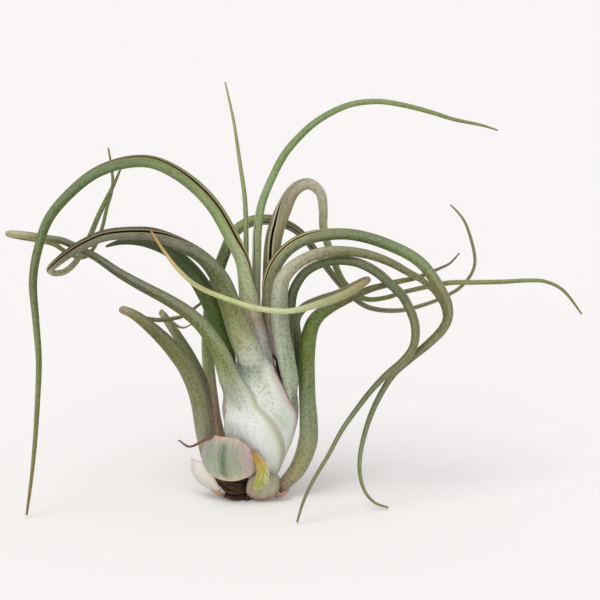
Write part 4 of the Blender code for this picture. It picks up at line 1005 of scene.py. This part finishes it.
def build_fibres():
    verts, faces, place, state = [], [], [], []
    for k in range(FIBRES):
        height = 7.5 + FIBRE_RISE * k
        reach = 3.5 + 0.35 * (k % 3)
        points = [(2.6, -13.3, height + 1.8, 0.34), (reach, -13.8, height + 0.9, 0.28),
                  (reach + 0.5, -13.5, height - 0.8, 0.12)]
        tube(points, 0.1, 5.0 + k, verts, faces, place, state)
    obj = make_object("yellow_bract_fibres", verts, faces, place, state)
    obj.data.materials.append(strand_material("torn_fibre", (206, 200, 168), (240, 236, 220)))
    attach(obj, "root")


# height and radius of the woody base, from its foot up, in mm
STEM_ROWS = [(0.0, 4.6), (0.5, 5.1), (2.0, 5.2), (4.0, 5.0), (7.0, 4.2), (13.0, 4.2), (15.6, 3.0)]
STEM_SIDES = 64
STEM_STEP = 0.5             # about how far apart its rows are, in mm


def build_stem():
    """Short woody base: ridged, with a flat broken foot."""
    verts, faces, place, state = [], [], [], []
    rows = []
    for (z0, r0), (z1, r1) in zip(STEM_ROWS, STEM_ROWS[1:]):
        steps = max(1, round((z1 - z0) / STEM_STEP))
        rows += [(z0 + (z1 - z0) * k / steps, r0 + (r1 - r0) * k / steps) for k in range(steps)]
    rows.append(STEM_ROWS[-1])
    for z, r in rows:
        for j in range(STEM_SIDES):
            angle = 2 * pi * j / STEM_SIDES
            ridge = noise.noise(Vector((cos(angle) * 3.2, sin(angle) * 3.2, z * 0.15)))
            knob = noise.noise(Vector((cos(angle) * 1.2, sin(angle) * 1.2, z * 0.5 + 5)))
            reach = r * (1 + 0.10 * ridge + 0.06 * knob)
            verts.append(Vector((reach * cos(angle), reach * sin(angle), z)) * MM)
            place.append((angle * r, z, 2.0))
            state.append((j / STEM_SIDES, z / 16, 0.0, 0.0))
    for i in range(len(rows) - 1):
        for j in range(STEM_SIDES):
            a, b = i * STEM_SIDES + j, i * STEM_SIDES + (j + 1) % STEM_SIDES
            faces.append((a, b, b + STEM_SIDES, a + STEM_SIDES))
    start = list(range(STEM_SIDES))
    faces.append(tuple(start[::-1]))
    faces.append(tuple(v + (len(rows) - 1) * STEM_SIDES for v in start))
    obj = make_object("stem_wood_core", verts, faces, place, state)
    finish_piece(obj, strand_material("stem_stub", (34, 20, 12), (98, 62, 38)), "stem_stub")


# the camera looks at CENTRE and sees VIEW_WIDTH there, in metres
CENTRE = Vector((0.0158, 0.0, 0.0729))
ELEVATION = radians(12)
VIEW_DISTANCE = 1.5
VIEW_WIDTH = 0.216
SENSOR = 36.0
FLOOR_REACH = 4             # from the middle to each side
ROOM_LIGHT = 0.66
KEY_LIGHT = 1.0
FRONT_LIGHT = 0.75


def build_camera():
    data = bpy.data.cameras.new("camera")
    data.sensor_width = SENSOR
    data.lens = SENSOR * VIEW_DISTANCE / VIEW_WIDTH
    data.clip_end = 20
    camera = bpy.data.objects.new("camera", data)
    towards = Vector((0, -cos(ELEVATION), sin(ELEVATION)))
    camera.location = CENTRE + towards * VIEW_DISTANCE
    camera.rotation_euler = (-towards).to_track_quat("-Z", "Y").to_euler()
    bpy.context.scene.collection.objects.link(camera)
    bpy.context.scene.camera = camera


def build_floor():
    verts = [(x * FLOOR_REACH, y * FLOOR_REACH, 0) for x, y in ((-1, -1), (1, -1), (1, 1), (-1, 1))]
    floor = make_object("floor", verts, [(0, 1, 2, 3)], [], [])
    n = Nodes("floor_paper")
    n.shader.inputs["Base Color"].default_value = tint((250, 248, 248))
    n.shader.inputs["Roughness"].default_value = 0.9
    n.shader.inputs["Specular IOR Level"].default_value = 0.1
    floor.data.materials.append(n.material)


def add_sun(name, direction, angle, strength, colour):
    data = bpy.data.lights.new(name, "SUN")
    data.angle = radians(angle)
    data.energy = strength
    data.color = colour
    light = bpy.data.objects.new(name, data)
    light.rotation_euler = Vector(direction).to_track_quat("-Z", "Y").to_euler()
    light.location = (0, 0, 1)
    bpy.context.scene.collection.objects.link(light)


def build_lights():
    """A bright even room, a soft light from the upper left and a softer one from the front."""
    world = bpy.data.worlds.new("studio")
    world.use_nodes = True
    background = world.node_tree.nodes["Background"]
    background.inputs["Color"].default_value = (1.0, 0.99, 0.985, 1)
    background.inputs["Strength"].default_value = ROOM_LIGHT
    bpy.context.scene.world = world
    add_sun("key", (0.45, 0.55, -1.0), 40, KEY_LIGHT, (1.0, 0.99, 0.97))
    add_sun("front", (0.10, 0.95, -0.32), 60, FRONT_LIGHT, (1.0, 1.0, 1.0))
    bpy.context.scene.view_settings.view_transform = "Standard"


build_leaves()
build_shells()
build_strands()
build_fibres()
build_stem()
build_camera()
build_floor()
build_lights()
